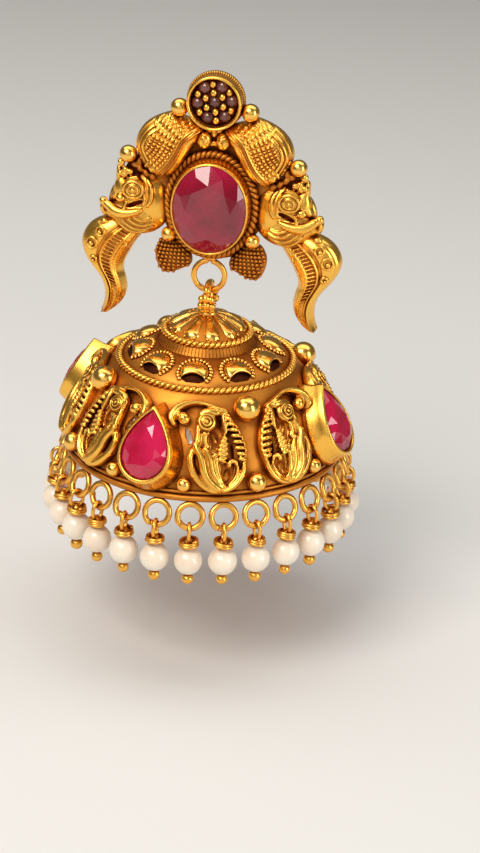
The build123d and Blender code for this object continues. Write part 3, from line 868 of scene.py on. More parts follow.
def fringe_links(shake):
    """Rings bent up from wire with their ends side by side, each turned a little in its own plane."""
    f = Forms()
    for azimuth in DROP_AZIMUTHS:
        seam = radians(215 + shake.uniform(-25, 25))
        a = seam + np.linspace(-0.2, 2 * pi + 0.2, 46)
        sag = radians(shake.uniform(-3, 3))
        across, along = LINK_RADIUS * np.cos(a), LINK_RADIUS * np.sin(a)
        out = LINK_CENTRE[0] - along * sin(LINK_LEAN) + np.linspace(-0.15, 0.15, 46)
        height = LINK_CENTRE[1] + along * cos(LINK_LEAN) + across * sin(sag)
        path = turned(azimuth + np.degrees(across / out), out / np.cos(across / out), height)
        outward = (sin(radians(azimuth)), -cos(radians(azimuth)), 0.45)
        f.tube(path, LINK_WIRE + 0.03, per_span=1, ref=outward)
    return f


def head_pin(azimuth, shake):
    """One wire pin: a loop through its link, turns round the neck, a shaft, and a ball under the pearl."""
    f = Forms()
    wire = 0.2
    top = DROP_TOP + LINK_WIRE + 0.05 + wire
    neck = PEARL_Z + PEARL_RADIUS + 0.12
    loop_low = neck + 0.62
    a = np.linspace(-0.42 * pi, 1.42 * pi, 26)
    twist = radians(shake.uniform(-14, 14))
    reach = 0.72 * np.cos(a)
    height = (top + loop_low) / 2 + (top - loop_low) / 2 * np.sin(a)
    loop = columns(reach * sin(twist), reach * cos(twist), height)
    f.tube(loop, wire, per_span=1, ref=(cos(twist), -sin(twist), 0))
    t = np.linspace(0, 1, 40)
    turns = 2.2 + shake.uniform(-0.2, 0.3)
    start = shake.uniform(0, 2 * pi)
    wide = 0.76 + shake.uniform(-0.05, 0.08) + 0.1 * (1 - t)
    spin = start + t * turns * 2 * pi
    tip = shake.uniform(-0.14, 0.14)
    rise = neck + 0.16 + 0.55 * t + tip * np.cos(spin)
    coil = columns(wide * np.cos(spin), wide * np.sin(spin), rise)
    f.tube(coil, 0.185, per_span=1, sides=8)
    f.tube([(0, 0, neck + 0.9), (0, 0, neck + 0.05)], 0.56, ref=(1, 0, 0))
    low = PEARL_Z - PEARL_RADIUS
    f.tube([(0, 0, neck), (0, 0, low - 0.35)], wire, ref=(1, 0, 0))
    size = 0.62 + shake.uniform(-0.04, 0.04)
    f.ball(0, 0, low - 0.52, size, (1, 1, 0.96 + shake.uniform(-0.08, 0.06)))
    return f.mapped(at_drop(azimuth))


def at_drop(azimuth):
    """Maps (across, out from the bell, height over the rim) to a drop of the fringe."""
    return lambda v: swung(azimuth, v[:, 0], DROP_RADIUS + v[:, 1], v[:, 2])


def pear_outline(half_width, length):
    """Points of a pear outline about its middle: an arc below, swelling sides and a point above."""
    low = -length / 2 + half_width
    rise = length / 2 - low
    points = [(x, low + y) for x, y in arc(half_width, np.linspace(pi, 2 * pi, 32))]
    t = np.linspace(0, 1, 33)[1:]
    side = list(zip(half_width * (1 - t ** 1.75) * (1 + 0.12 * t), low + rise * t))
    return np.array(points + side + [(-x, y) for x, y in side[-2::-1]])


def on_pear(azimuth):
    """Maps (across, up, out) to the leaning plane of a pear setting, out from the band."""
    angles = BAND_START + np.linspace(0, 1, 200) * 11.3 / BAND_R
    heights, radii = BAND_Y + BAND_R * np.sin(angles), BAND_X + BAND_R * np.cos(angles)
    root = float(np.interp(PEAR_HEIGHT, heights, radii)) - 0.6
    lean = radians(PEAR_TILT)

    def place(v):
        out = root + v[:, 2] * cos(lean) - v[:, 1] * sin(lean)
        return swung(azimuth, v[:, 0], out, PEAR_HEIGHT + v[:, 2] * sin(lean) + v[:, 1] * cos(lean))
    return place


def rings_of(outlines):
    """A closed skin through stacked outlines of (points, height), capped at both ends."""
    n = len(outlines[0][0])
    verts = np.vstack([columns(points, np.full(n, height)) for points, height in outlines])
    return Forms().add(verts, capped(len(outlines), n))


def pear_setting(azimuth):
    """The collet: flared foot, standing wall, rounded lip and the seat inside."""
    w, h = PEAR_HALF_WIDTH, PEAR_LENGTH
    levels = [(0.85, 0.0), (0.72, 0.9), (0.5, 1.5), (0.42, 2.1), (0.36, 2.6), (0.27, 2.78), (0.12, 2.84),
              (0.02, 2.8), (-0.04, 2.62), (0.04, 2.4), (0.05, 1.35)]
    return rings_of([(pear_outline(w + g, h + 2.35 * g), z) for g, z in levels]).mapped(on_pear(azimuth))


def make_bell():
    """The bell's sheet, its wires and ornament, and the links along its rim."""
    shake = random.Random(11)
    sheet = bell_piece("bell_sheet", bell_sheet(), DARK_GOLD)
    cut(sheet, window_cutters())
    sheet.data.shade_smooth()
    rim = Forms().wire(on_axis(circle(RIM[0], 0.0, 160)), 0.36, 12)
    rim.wire(on_axis(circle(RIM[0] - 0.1, 0.6, 160)), 0.2, 8)
    shoulder = rope(on_axis(circle(*ROPE, 760)), strand_offset=0.18, strand_radius=0.225, turns=46)
    crown_line = on_axis(circle(CROWN[0] + 0.02, CROWN[1] + 0.02, 560))
    crown = rope(crown_line, strand_offset=0.18, strand_radius=0.21, turns=24)
    moons, floors = half_moons()
    rows = (("rim_wire", rim, DARK_GOLD), ("shoulder_rope", shoulder, GOLD), ("crown_rope", crown, GOLD),
            ("lotus_crown", lotus_crown(), POLISHED_GOLD), ("half_moons", moons, POLISHED_GOLD),
            ("moon_painted_shadows", floors, SHADE_GOLD), ("roof_ground", roof_ground(), ROOF_GOLD),
            ("crown_flutes", crown_flutes(), DARK_GOLD), ("band_balls", band_balls(), POLISHED_GOLD),
            ("bell_loop", bell_loop(), GOLD), ("fringe_links", fringe_links(shake), WIRE_GOLD))
    for row in rows:
        bell_piece(*row)
    make_peacocks()
    for k, azimuth in enumerate(PEARS, 1):
        bell_piece(f"pear_setting_{k}", pear_setting(azimuth), GOLD)


def make_fringe():
    """Pins in the CAD's groups, and a pearl for each, no two quite alike."""
    shake = random.Random(5)
    for group in range(DROPS // PINS_PER_GROUP):
        pins = Forms()
        for azimuth in DROP_AZIMUTHS[group * PINS_PER_GROUP:(group + 1) * PINS_PER_GROUP]:
            pins.join(head_pin(azimuth, shake))
        piece(f"pins_{group + 1}", pins, WIRE_GOLD, "bell", (f"head_pins_{group + 1}",))
    for k, azimuth in enumerate(DROP_AZIMUTHS, 1):
        size = PEARL_RADIUS * (0.985 + shake.uniform(-0.03, 0.02))
        scale = [1 + shake.uniform(-0.025, 0.012) for _ in range(3)]
        bead = Forms().ball(0, 0, PEARL_Z, size, scale, detail=4).mapped(at_drop(azimuth))
        piece(f"pearl_bead_{k:02d}", bead, PEARL, "bell", (f"pearl_{k:02d}",))


make_bell()
make_fringe()


# ---- the stud ----
def resampled(points, count, closed=True):
    """Points spread evenly along a smooth curve through the given ones."""
    curve = catmull(points, closed, 16)
    if closed:
        curve = np.vstack([curve, curve[:1]])
    run = run_along(curve)
    at = np.linspace(0, run[-1], count, endpoint=not closed)
    return np.column_stack([np.interp(at, run, curve[:, k]) for k in range(curve.shape[1])])


def from_line(line, x, y):
    """Signed distance from an open line, positive to the right of its run, and how far along it."""
    start, step, run = line[:-1], np.diff(line, axis=0), run_along(line)[:-1]
    length = np.linalg.norm(step, axis=1)
    px, py = x[:, None] - start[None, :, 0], y[:, None] - start[None, :, 1]
    t = ((px * step[:, 0] + py * step[:, 1]) / length ** 2).clip(0, 1)
    gap = np.hypot(px - t * step[:, 0], py - t * step[:, 1])
    best = gap.argmin(1)
    pick = np.arange(len(x))
    turn = step[best, 0] * py[pick, best] - step[best, 1] * px[pick, best]
    return -np.sign(turn) * gap[pick, best], run[best] + t[pick, best] * length[best]


def groove(distance, width):
    """1 along a line and 0 away from it."""
    return np.exp(-(distance / width) ** 2)


def nearest_line(value):
    """Distance to the nearest whole number."""
    return np.abs(value - np.round(value))


def boss(outline, centre, height, around, rows):
    """A repousse boss over a closed outline; height(x, y, s) gives its front, s being 1 at the outline."""
    edge = resampled(outline, around)
    centre = np.array(centre, float)
    steps = np.linspace(0, 1, rows + 1)[1:] ** 0.85
    flat = np.vstack([centre + (edge - centre) * s for s in steps])
    share = np.repeat(steps, around)
    front = height(flat[:, 0], flat[:, 1], share)
    middle = height(centre[:1], centre[1:], np.zeros(1))
    verts = np.vstack([columns(flat, front), [[*centre, middle[0]]],
                       columns(edge, np.zeros(around))])
    faces = quads(rows, around)
    last, tip, foot = (rows - 1) * around, rows * around, rows * around + 1
    for k in range(around):
        m = (k + 1) % around
        faces.append((tip, m, k))
        faces.append((last + k, last + m, foot + m, foot + k))
    faces.append(tuple(foot + k for k in reversed(range(around))))
    return Forms().add(verts, faces)


def ribbon(inner, outer, height, along, across):
    """A long boss between two edges; height(t, s, length) gives its front, t along it and s across."""
    a, b = resampled(inner, along, closed=False), resampled(outer, along, closed=False)
    s = np.linspace(0, 1, across)
    flat = a[:, None] * (1 - s)[None, :, None] + b[:, None] * s[None, :, None]
    t = np.repeat(np.linspace(0, 1, along), across)
    front = height(t, np.tile(s, along), np.repeat(run_along((a + b) / 2), across))
    flat = flat.reshape(-1, 2)
    n = len(flat)
    back = np.vstack([a, b])
    verts = np.vstack([columns(flat, front), columns(back, np.zeros(2 * along))])
    faces = []
    for i in range(along - 1):
        for k in range(across - 1):
            corner = i * across + k
            faces.append((corner, corner + 1, corner + across + 1, corner + across))
        faces.append((n + i, n + i + 1, n + along + i + 1, n + along + i))
        for k, foot in ((0, n + i), (across - 1, n + along + i)):
            low = i * across + k
            faces.append((low, low + across, foot + 1, foot))
    for i in (0, along - 1):
        faces.append(tuple(i * across + k for k in range(across)) + (n + along + i, n + i))
    return Forms().add(verts, faces)


POD_OUTLINE = [(1.0, 8.1), (2.0, 8.55), (3.2, 8.95), (4.2, 9.3), (5.1, 9.1), (6.2, 8.6), (7.1, 7.95),
               (7.75, 7.1), (8.1, 6.1), (8.05, 5.2), (7.6, 4.2), (6.9, 3.2), (6.1, 2.6), (5.1, 2.45),
               (4.0, 2.95), (3.25, 3.85), (2.65, 4.9), (2.0, 5.95), (1.4, 7.1)]
POD_CENTRE = (5.0, 6.1)
POD_CORD = [(1.15, 8.0), (2.1, 7.35), (2.9, 6.55), (3.5, 5.3), (4.2, 4.1), (4.95, 3.2), (5.4, 2.6)]
SCALE_PITCH = 0.47
ARC_PITCH = 0.46


def pod_height(x, y, s):
    """Smooth lobe inside, two cords, a field of square scales, and two arcs along the outer edge."""
    cord = resampled(POD_CORD, 160, closed=False)
    rightward, along = from_line(cord, x, y)
    across = -rightward
    from_edge = (1 - s) * np.hypot(x - POD_CENTRE[0], y - POD_CENTRE[1]) / s.clip(0.05)
    outward = np.degrees(np.arctan2(y - POD_CENTRE[1], x - POD_CENTRE[0]))
    fullness = np.interp(outward, [20, 60, 120, 160], [4.6, 2.2, 2.2, 4.6])
    body = 0.35 + 1.95 * (1 - s ** fullness).clip(0) ** 0.6
    rim = ((outward > -48) & (outward < 62)) * (from_edge < 1.22)
    lobe = 0.34 * groove(across + 0.75, 0.62) * (across < 0)
    cords = 0.34 * groove(across + 0.02, 0.13) + 0.2 * groove(across - 0.44, 0.12)
    field = (across > 0.68) * (rim == 0)
    scales = np.abs(np.sin(pi * across / SCALE_PITCH) * np.sin(pi * along / SCALE_PITCH)) ** 0.6
    arcs = 0.24 * groove(nearest_line((from_edge - 0.3) / ARC_PITCH), 0.15) * rim
    return body + lobe + cords + field * (0.3 * scales - 0.16) - arcs


def pod_forms():
    """The pod, with the curled end under its field of scales and two granules beside it."""
    f = boss(POD_OUTLINE, POD_CENTRE, pod_height, around=300, rows=64)
    f.ball(6.1, 3.55, 1.6, 0.5, (1.0, 1.0, 0.8))
    hood = [(6.05 + x, 3.5 + y, 1.75) for x, y in arc(0.8, np.linspace(0.1, pi - 0.1, 9))]
    f.tube(hood, (0.1, 0.17, 0.2, 0.2, 0.2, 0.2, 0.2, 0.17, 0.1), flat=1.4)
    f.ball(7.75, 5.15, 1.15, 0.3, detail=2)
    f.ball(7.3, 4.5, 1.25, 0.26, detail=2)
    return f


DISC = (7.55, -0.65, 3.28)     # middle and radius of the makara's roundel
DISC_DOME = 4.79               # radius of the roundel's dome
# the swell that carries the wing: its middle, half width, and height as a share of the width
BREAST = (8.15, -1.7, 2.5, 0.78)


def dome_front(distance):
    """Front of the roundel's shallow dome at a distance from its middle."""
    return np.sqrt((DISC_DOME ** 2 - np.asarray(distance) ** 2).clip(1.0)) - DISC_DOME + 2.0


def disc_front(x, y):
    """Front of the makara's domed roundel, with the breast that swells from its lower right."""
    x, y = np.asarray(x, float), np.asarray(y, float)
    dome = dome_front(np.hypot(x - DISC[0], y - DISC[1]))
    reach = 1 - ((x - BREAST[0]) / BREAST[2]) ** 2 - ((y - BREAST[1]) / BREAST[2] / BREAST[3]) ** 2
    return np.maximum(dome, 1.0 + 1.15 * np.sqrt(reach.clip(0)) * (reach > 0) - 9.0 * (reach <= 0))


def on_disc(points, lift):
    """The given (x, y) points at a height over the roundel."""
    return [(x, y, float(disc_front(x, y)) + lift) for x, y in points]


# the folded wing's feathers, from the top one down
WING = [
    [(6.1, -1.75), (6.6, -2.0), (7.1, -2.05), (7.6, -1.85), (8.05, -1.6)],
    [(5.85, -2.25), (6.4, -2.5), (7.0, -2.6), (7.7, -2.4), (8.2, -2.1), (8.6, -1.85)],
    [(5.95, -2.75), (6.6, -3.0), (7.3, -3.1), (8.0, -2.9), (8.7, -2.45), (9.2, -2.0)],
    [(6.45, -3.2), (7.1, -3.45), (7.8, -3.5), (8.5, -3.25), (9.2, -2.75), (9.85, -2.15)],
]
# two bars behind the head, over the roundel: line, lift, radii and flatness
MANE = [
    ([(6.85, 2.15), (6.4, 1.55), (6.2, 0.8), (6.3, 0.05), (6.7, -0.65)], 0.0,
     (0.14, 0.24, 0.28, 0.28, 0.2), 0.9),
    ([(7.05, 0.9), (6.85, 0.2), (7.0, -0.5)], 0.08, (0.12, 0.18, 0.14), 1.0),
]
# bars with heights of their own: line, radii and flatness
BEAK = [
    ([(11.2, -0.7, 1.1), (11.3, -1.4, 0.9), (10.95, -2.1, 0.8)], (0.36, 0.36, 0.3), 1.9),
    ([(10.2, -0.9, 1.2), (10.5, -1.6, 1.1), (10.4, -2.3, 0.9)], (0.5, 0.5, 0.4), 1.2),
]
CREST = [
    ([(9.35, 3.3, 1.2), (9.45, 3.8, 1.35), (9.55, 4.15, 1.15)], (0.3, 0.38, 0.3), 1.0),
    ([(9.7, 3.4, 0.7), (9.68, 2.4, 0.8), (9.68, 1.3, 0.85), (9.95, 0.3, 0.9), (10.3, -0.5, 0.9)],
     (0.3, 0.38, 0.4, 0.44, 0.36), 1.4),
]
# the lower lip's line
LIP = [(6.95, -0.85, 2.05), (7.7, -1.15, 2.2), (8.7, -1.4, 2.2), (9.7, -1.35, 2.05), (10.5, -0.9, 1.8),
       (11.1, -0.5, 1.6)]
MAKARA_EYE = (8.05, 1.15)


def makara_forms():
    """Domed roundel with the makara's head, open beak, lip, crest and folded wing."""
    f = Forms()
    x0, y0, edge = DISC
    levels = [(ellipse(edge * r, edge * r, 64, (x0, y0)), float(dome_front(edge * r)))
              for r in (1.0, 0.97, 0.9, 0.77, 0.6, 0.4, 0.2)]
    f.join(rings_of([(levels[0][0], 0.0)] + levels))
    f.ball(*BREAST[:2], 1.0, BREAST[2], (1.0, BREAST[3], 0.46), detail=4)
    f.ball(8.05, 1.1, 1.3, 1.28, (1.0, 0.92, 0.76), detail=4)
    f.ball(9.35, 0.6, 0.9, 1.15, (0.8, 1.5, 0.72), detail=4)
    f.bars([(on_disc(line, lift), radii, flat) for line, lift, radii, flat in MANE])
    f.ball(9.35, 0.1, 1.8, 0.46, (1.15, 0.95, 0.9))
    f.tube([(8.6, -0.05, 2.0), (8.85, -0.5, 2.05), (8.95, -0.95, 2.1)], (0.12, 0.16, 0.14))
    f.tube(LIP, (0.2, 0.36, 0.5, 0.56, 0.48, 0.4), sides=14, flat=0.85)
    f.ball(11.2, -0.45, 1.5, 0.46)
    f.bars(BEAK)
    for feather in WING:
        count = len(feather)
        radii = [0.08 + 0.13 * sin(pi * (i + 0.6) / count) for i in range(count)]
        f.tube(on_disc(feather, 0.05), radii, flat=1.2)
    f.slab([(7.45, 2.15), (7.6, 2.72), (8.6, 2.45), (9.05, 1.95)], 0.4, 1.95, inset=0.12)
    for x, y in ((8.5, 2.85), (9.0, 3.05), (9.05, 2.5), (9.5, 2.65)):
        f.ball(x, y, 1.35, 0.34)
    f.bars(CREST)
    return f


def makara_eye():
    """A broad almond rim, a thin ring and a bead on the makara's head."""
    f = Forms()
    for half, wire, out in (((1.0, 0.86), 0.19, 1.98), ((0.52, 0.5), 0.12, 2.22)):
        f.wire(flat_ring(MAKARA_EYE, *half, out, 32), wire, 8)
    return f.ball(*MAKARA_EYE, 2.22, 0.25, detail=2)


TRUNK_OUTER = [(10.7, -2.2), (12.1, -2.8), (13.1, -3.7), (13.65, -5.0), (13.45, -6.2), (12.85, -7.3),
               (11.95, -8.4), (11.3, -9.6), (11.1, -10.9), (11.25, -12.0), (11.5, -12.7)]
TRUNK_INNER = [(7.1, -3.7), (7.85, -4.8), (8.6, -6.1), (9.1, -7.2), (9.2, -8.1), (8.95, -9.0), (8.8, -10.2),
               (9.1, -11.3), (9.75, -12.2), (10.5, -12.8), (10.9, -12.95)]


RUNG_PITCH = 0.43


def trunk_height(t, s, run):
    """An inner band, a channel of rungs between two ridges, and a broad outer band."""
    bulge = (1 - np.abs(2 * s - 1) ** 3.6).clip(0) ** 0.6
    size = np.interp(t, [0, 0.12, 0.5, 0.85, 1], [1.2, 1.7, 1.6, 1.15, 0.8])
    fade = np.interp(t, [0.0, 0.6, 0.72], [1, 1, 0])
    channel = (s > 0.275) * (s < 0.455)
    rungs = groove(nearest_line(run / RUNG_PITCH), 0.25)
    ridges = 0.2 * groove(s - 0.24, 0.03) + 0.26 * groove(s - 0.5, 0.032) - 0.2 * groove(s - 0.56, 0.03)
    bands = 0.14 * groove(s - 0.15, 0.07) - 0.12 * groove(s - 0.05, 0.03) - 0.1 * groove(s - 0.9, 0.025)
    keel = 0.5 * groove(s - 0.62, 0.13) * np.interp(t, [0.6, 0.8], [0, 1])
    return 0.3 + size * bulge + ridges * np.interp(t, [0.8, 0.97], [1, 0]) + bands + keel \
        - channel * fade * (0.22 - 0.26 * rungs)


def draped(points, surface, lift):
    """Puts (x, y) points over the nearest of a surface's vertices."""
    points = np.asarray(points, float)
    gaps = np.linalg.norm(points[:, None] - surface[None, :, :2], axis=2)
    return columns(points, surface[gaps.argmin(axis=1), 2] + lift)


# middle and radius of each ringed eye on the trunk
TRUNK_EYES = [(11.4, -3.65, 0.47), (12.3, -4.95, 0.56), (12.1, -6.75, 0.32)]


def trunk_forms():
    """A curved trunk with a laddered channel, ringed eyes, a blob at its root and a grain beside it."""
    f = ribbon(TRUNK_INNER, TRUNK_OUTER, trunk_height, along=220, across=56)
    surface = f.verts[f.verts[:, 2] > 0.5]

    def grain(x, y, lift, radius, scale=(1, 1, 1)):
        f.ball(*draped([(x, y)], surface, lift)[0], radius, scale)

    for x, y, radius in TRUNK_EYES:
        f.wire(draped(ellipse(radius, radius, 20, (x, y)), surface, 0.08), 0.14, 8)
        grain(x + 0.08, y - 0.12, 0.06, radius * 0.52)
    f.tube(draped([(10.7, -2.75), (11.1, -2.7), (11.6, -2.85)], surface, 0.05), (0.24, 0.36, 0.24))
    grain(8.75, -4.9, 0.0, 0.24, (0.8, 1.2, 0.8))
    return f


FAN_OUTLINE = [(3.3, -4.3), (4.2, -4.0), (5.1, -4.15), (5.6, -4.8), (5.85, -5.6), (5.75, -6.6), (5.35, -7.5),
               (4.75, -7.95), (3.9, -7.8), (3.0, -7.4), (2.25, -7.0), (1.95, -6.5), (2.1, -5.7), (2.5, -5.0)]


FAN_CENTRE = (4.0, -6.0)
GRANULE_PITCH = (0.43, 0.41)


def inside(edge, x, y):
    """Whether a point is within a closed outline."""
    x0, y0 = edge[:, 0], edge[:, 1]
    x1, y1 = np.roll(x0, -1), np.roll(y0, -1)
    crosses = ((y0 > y) != (y1 > y)) & (x < (x1 - x0) * (y - y0) / np.where(y1 == y0, 1e-9, y1 - y0) + x0)
    return crosses.sum() % 2 == 1


def fan_forms():
    """A leaf paved with square granules in rows that spread a little towards its end."""

    def front(x, y, s):
        return 0.5 + 0.75 * (1 - s ** 3).clip(0) ** 0.6

    f = boss(FAN_OUTLINE, FAN_CENTRE, front, around=60, rows=12)
    edge = resampled(FAN_OUTLINE, 60)
    for i in range(-6, 7):
        for k in range(-6, 7):
            y = FAN_CENTRE[1] + GRANULE_PITCH[1] * k
            x = 4.1 + i * GRANULE_PITCH[0] * (1 - 0.05 * k) - 0.06 * k
            gap = np.hypot(edge[:, 0] - x, edge[:, 1] - y).min()
            if inside(edge, x, y) and gap > 0.1:
                height = 1.22 - 0.42 * exp(-(gap / 0.45) ** 2)
                f.ball(x, y, height, 0.235, (0.95, 0.85, 1.0), detail=2)
    return f


PLATE_HALF = [(0, 9.0), (2.2, 8.3), (5.6, 7.9), (7.2, 6.6), (7.4, 4.7), (8.6, 4.2), (9.4, 2.6),
              (9.7, -0.6), (10.4, -2.6), (9.4, -3.0), (7.0, -3.0), (5.3, -2.0), (4.6, -3.0), (4.4, -4.6),
              (2.6, -5.5), (0, -6.2)]


def stud_plate(low, high):
    """A layer of the flat backing sheet."""
    outline = PLATE_HALF + [(-x, y) for x, y in PLATE_HALF[-2:0:-1]]
    return Forms().slab(outline, low, high, inset=0.05)


def oval_setting():
    """Collet with a burnished lip."""
    levels = [(4.4, 5.3, 0.0), (4.3, 5.2, 0.9), (4.12, 5.0, 1.8), (4.02, 4.9, 2.5), (3.98, 4.86, 2.78),
              (3.9, 4.77, 2.9), (3.8, 4.66, 2.88), (3.74, 4.58, 2.78), (3.8, 4.66, 2.4), (3.8, 4.66, 0.9)]
    return rings_of([(ellipse(half_w, half_h), height) for half_w, half_h, height in levels])


def oval_rope():
    """The twisted wire round the collet's foot, on a plain wire."""
    line = flat_ring((0, 0), 4.45, 5.36, 1.15, 520)
    f = rope(line, strand_offset=0.22, strand_radius=0.27, turns=27)
    return f.wire(line[::4] * np.array([1.02, 1.02, 0.4]), 0.34, 8)


def cluster_setting():
    """Round cup with a thin bright lip and a wall milled all round."""
    levels = [(2.8, 0.0), (2.84, 0.6), (2.82, 1.2), (2.76, 1.85), (2.79, 2.05), (2.79, 2.2), (2.7, 2.34),
              (2.58, 2.34), (2.48, 2.18), (2.46, 1.9), (2.46, 1.1)]
    f = rings_of([(ellipse(r, r, 96, (0, CLUSTER_Y)), h) for r, h in levels])
    for x, y in arc(1.0, full_turn(MILLINGS)):
        bar = [(2.88 * x, CLUSTER_Y + 2.88 * y, 0.25), (2.86 * x, CLUSTER_Y + 2.86 * y, 1.05)]
        f.tube(bar, 0.15, sides=7, per_span=3, ref=(y, -x, 0))
    return f


def cluster_grains():
    """Twelve oval grains on short stalks between the seven stones."""
    f = Forms()
    for k in range(12):
        a = radians(37 + 60 * (k // 2))
        r = (0.98, 1.86)[k % 2]
        x, y = r * cos(a), CLUSTER_Y + r * sin(a)
        f.ball(x, y, 1.66, 0.35, (0.92, 1.08, 0.9))
        f.tube([(x, y, 1.2), (x, y, 1.6)], 0.25, ref=(0, 1, 0))
    return f


def facets(outline, centre, count, levels, base):
    """Cut stone over an outline: table, star and kite facets, girdle band, and a flat foot at base.

    levels are (scale, height) of the table, of the kites' shoulders and of the girdle.
    """
    edge = resampled(outline, 2 * count)
    centre = np.array(centre, float)
    (st, ht), (sm, hm), (sg, hg) = levels

    def ring(points, scale, height):
        return columns(centre + (points - centre) * scale, np.full(len(points), height))

    girdle = [(edge, sg, hg), (edge, sg, hg - 0.18), (edge, sg * 0.8, base)]
    verts = np.vstack([ring(*row) for row in [(edge[::2], st, ht), (edge[1::2], sm, hm), *girdle]])
    m, g, b, f = count, 2 * count, 4 * count, 6 * count
    faces = [tuple(range(count))]
    for k in range(count):
        near = g + 2 * k
        faces.append((k, m + k, (k + 1) % count))
        faces.append((k, m + (k - 1) % count, near, m + k))
        faces.append((m + k, near, near + 1))
        faces.append((m + k, near + 1, g + (2 * k + 2) % (2 * count)))
    for k in range(2 * count):
        n = (k + 1) % (2 * count)
        faces.append((g + k, b + k, b + n, g + n))
        faces.append((b + k, f + k, f + n, b + n))
    faces.append(tuple(f + k for k in reversed(range(2 * count))))
    return Forms().add(verts, faces)


def curl_beads():
    """Curled ends between the pods, and the small flower under the round setting."""
    f = Forms()
    for side in (-1, 1):
        f.ball(side * 0.98, 6.8, 1.2, 0.8, (0.94, 1.16, 0.85))
        f.tube([(side * 1.35, 7.35, 1.7), (side * 0.95, 7.25, 1.95), (side * 0.7, 6.85, 1.98),
                (side * 0.95, 6.5, 1.95)], (0.12, 0.2, 0.2, 0.12))
    for x, y in ((-0.5, 7.95), (0.5, 7.95), (0.0, 7.55)):
        f.ball(x, y, 1.0, 0.4, (1.0, 1.1, 0.8))
    f.ball(0, 7.85, 1.35, 0.24, detail=2)
    f.tube([(-0.9, 6.2, 0.7), (0, 6.45, 0.8), (0.9, 6.2, 0.7)], 0.34)
    return f


def leaf_fill():
    """Small folded leaves in the corner between pod, makara and solder ball."""
    f = Forms()
    for x, y, turn in ((6.2, 2.45, 100), (6.9, 2.75, 75), (7.55, 3.2, 60), (8.15, 3.6, 35), (7.6, 3.95, 80)):
        a = radians(turn)
        f.tube([(x - 0.45 * cos(a), y - 0.45 * sin(a), 0.75), (x, y, 1.0),
                (x + 0.45 * cos(a), y + 0.45 * sin(a), 0.8)], (0.2, 0.36, 0.16))
    return f.melted(0.08, smooth=1, keep=0.5)


def solder_balls():
    """Solder balls on short stalks at the corners of the plate."""
    f = Forms()
    for side in (-1, 1):
        for x, y, radius, height in ((3.6, 10.0, 0.92, 1.15), (8.75, 4.7, 0.9, 1.2), (4.35, -3.5, 0.8, 1.2)):
            f.ball(side * x, y, height, radius, detail=4)
            f.tube([(side * x, y, 0.1), (side * x, y, height)], radius * 0.6, ref=(0, 1, 0))
    return f


def hanging_ring():
    """Ring of plain wire under the oval, with its seam at the top and the tab that holds it."""
    a = radians(90) + np.linspace(0.03, 2 * pi - 0.03, 60)
    centre = RING_Z - OVAL_Z
    line = columns(1.62 * np.cos(a), centre + 1.62 * np.sin(a), np.full(60, -AXIS_Y))
    f = Forms().tube(line, 0.3, per_span=1, sides=12)
    return f.tube([(-0.7, centre + 1.85, 1.0), (0, centre + 1.95, 1.0), (0.7, centre + 1.85, 1.0)], 0.36)


def lathe(rows, place):
    """A turned form from (radius, height) rows, put down by place."""
    return rings_of([(ellipse(r, r, 48), h) for r, h in rows]).mapped(place)


def ear_post():
    """The post behind the plate: a stepped pad, a plain shaft and a grooved, rounded tip."""
    pad = [(1.9, -0.05), (2.0, -0.12), (2.0, -0.46), (1.9, -0.55), (0.75, -0.55), (0.55, -0.68),
           (0.45, -0.95)]
    tip = [(0.45, -9.0), (0.4, -9.1), (0.4, -9.35), (0.45, -9.45), (0.45, -10.1), (0.38, -10.35),
           (0.2, -10.52), (0.03, -10.55)]
    return lathe(pad + tip, lambda v: columns(v[:, 0], -v[:, 2], v[:, 1]))


def cluster_stones():
    """Six round stones about a seventh."""
    stones = Forms()
    for k in range(CLUSTER_STONES + 1):
        a = radians(7 + 360 / CLUSTER_STONES * k)
        r = 1.75 if k < CLUSTER_STONES else 0.0
        at = (r * cos(a), CLUSTER_Y + r * sin(a))
        stones.join(facets(ellipse(0.6, 0.6, 32, at), at, 6, ((0.5, 1.86), (0.8, 1.75), (1.0, 1.56)), 1.4))
    return stones


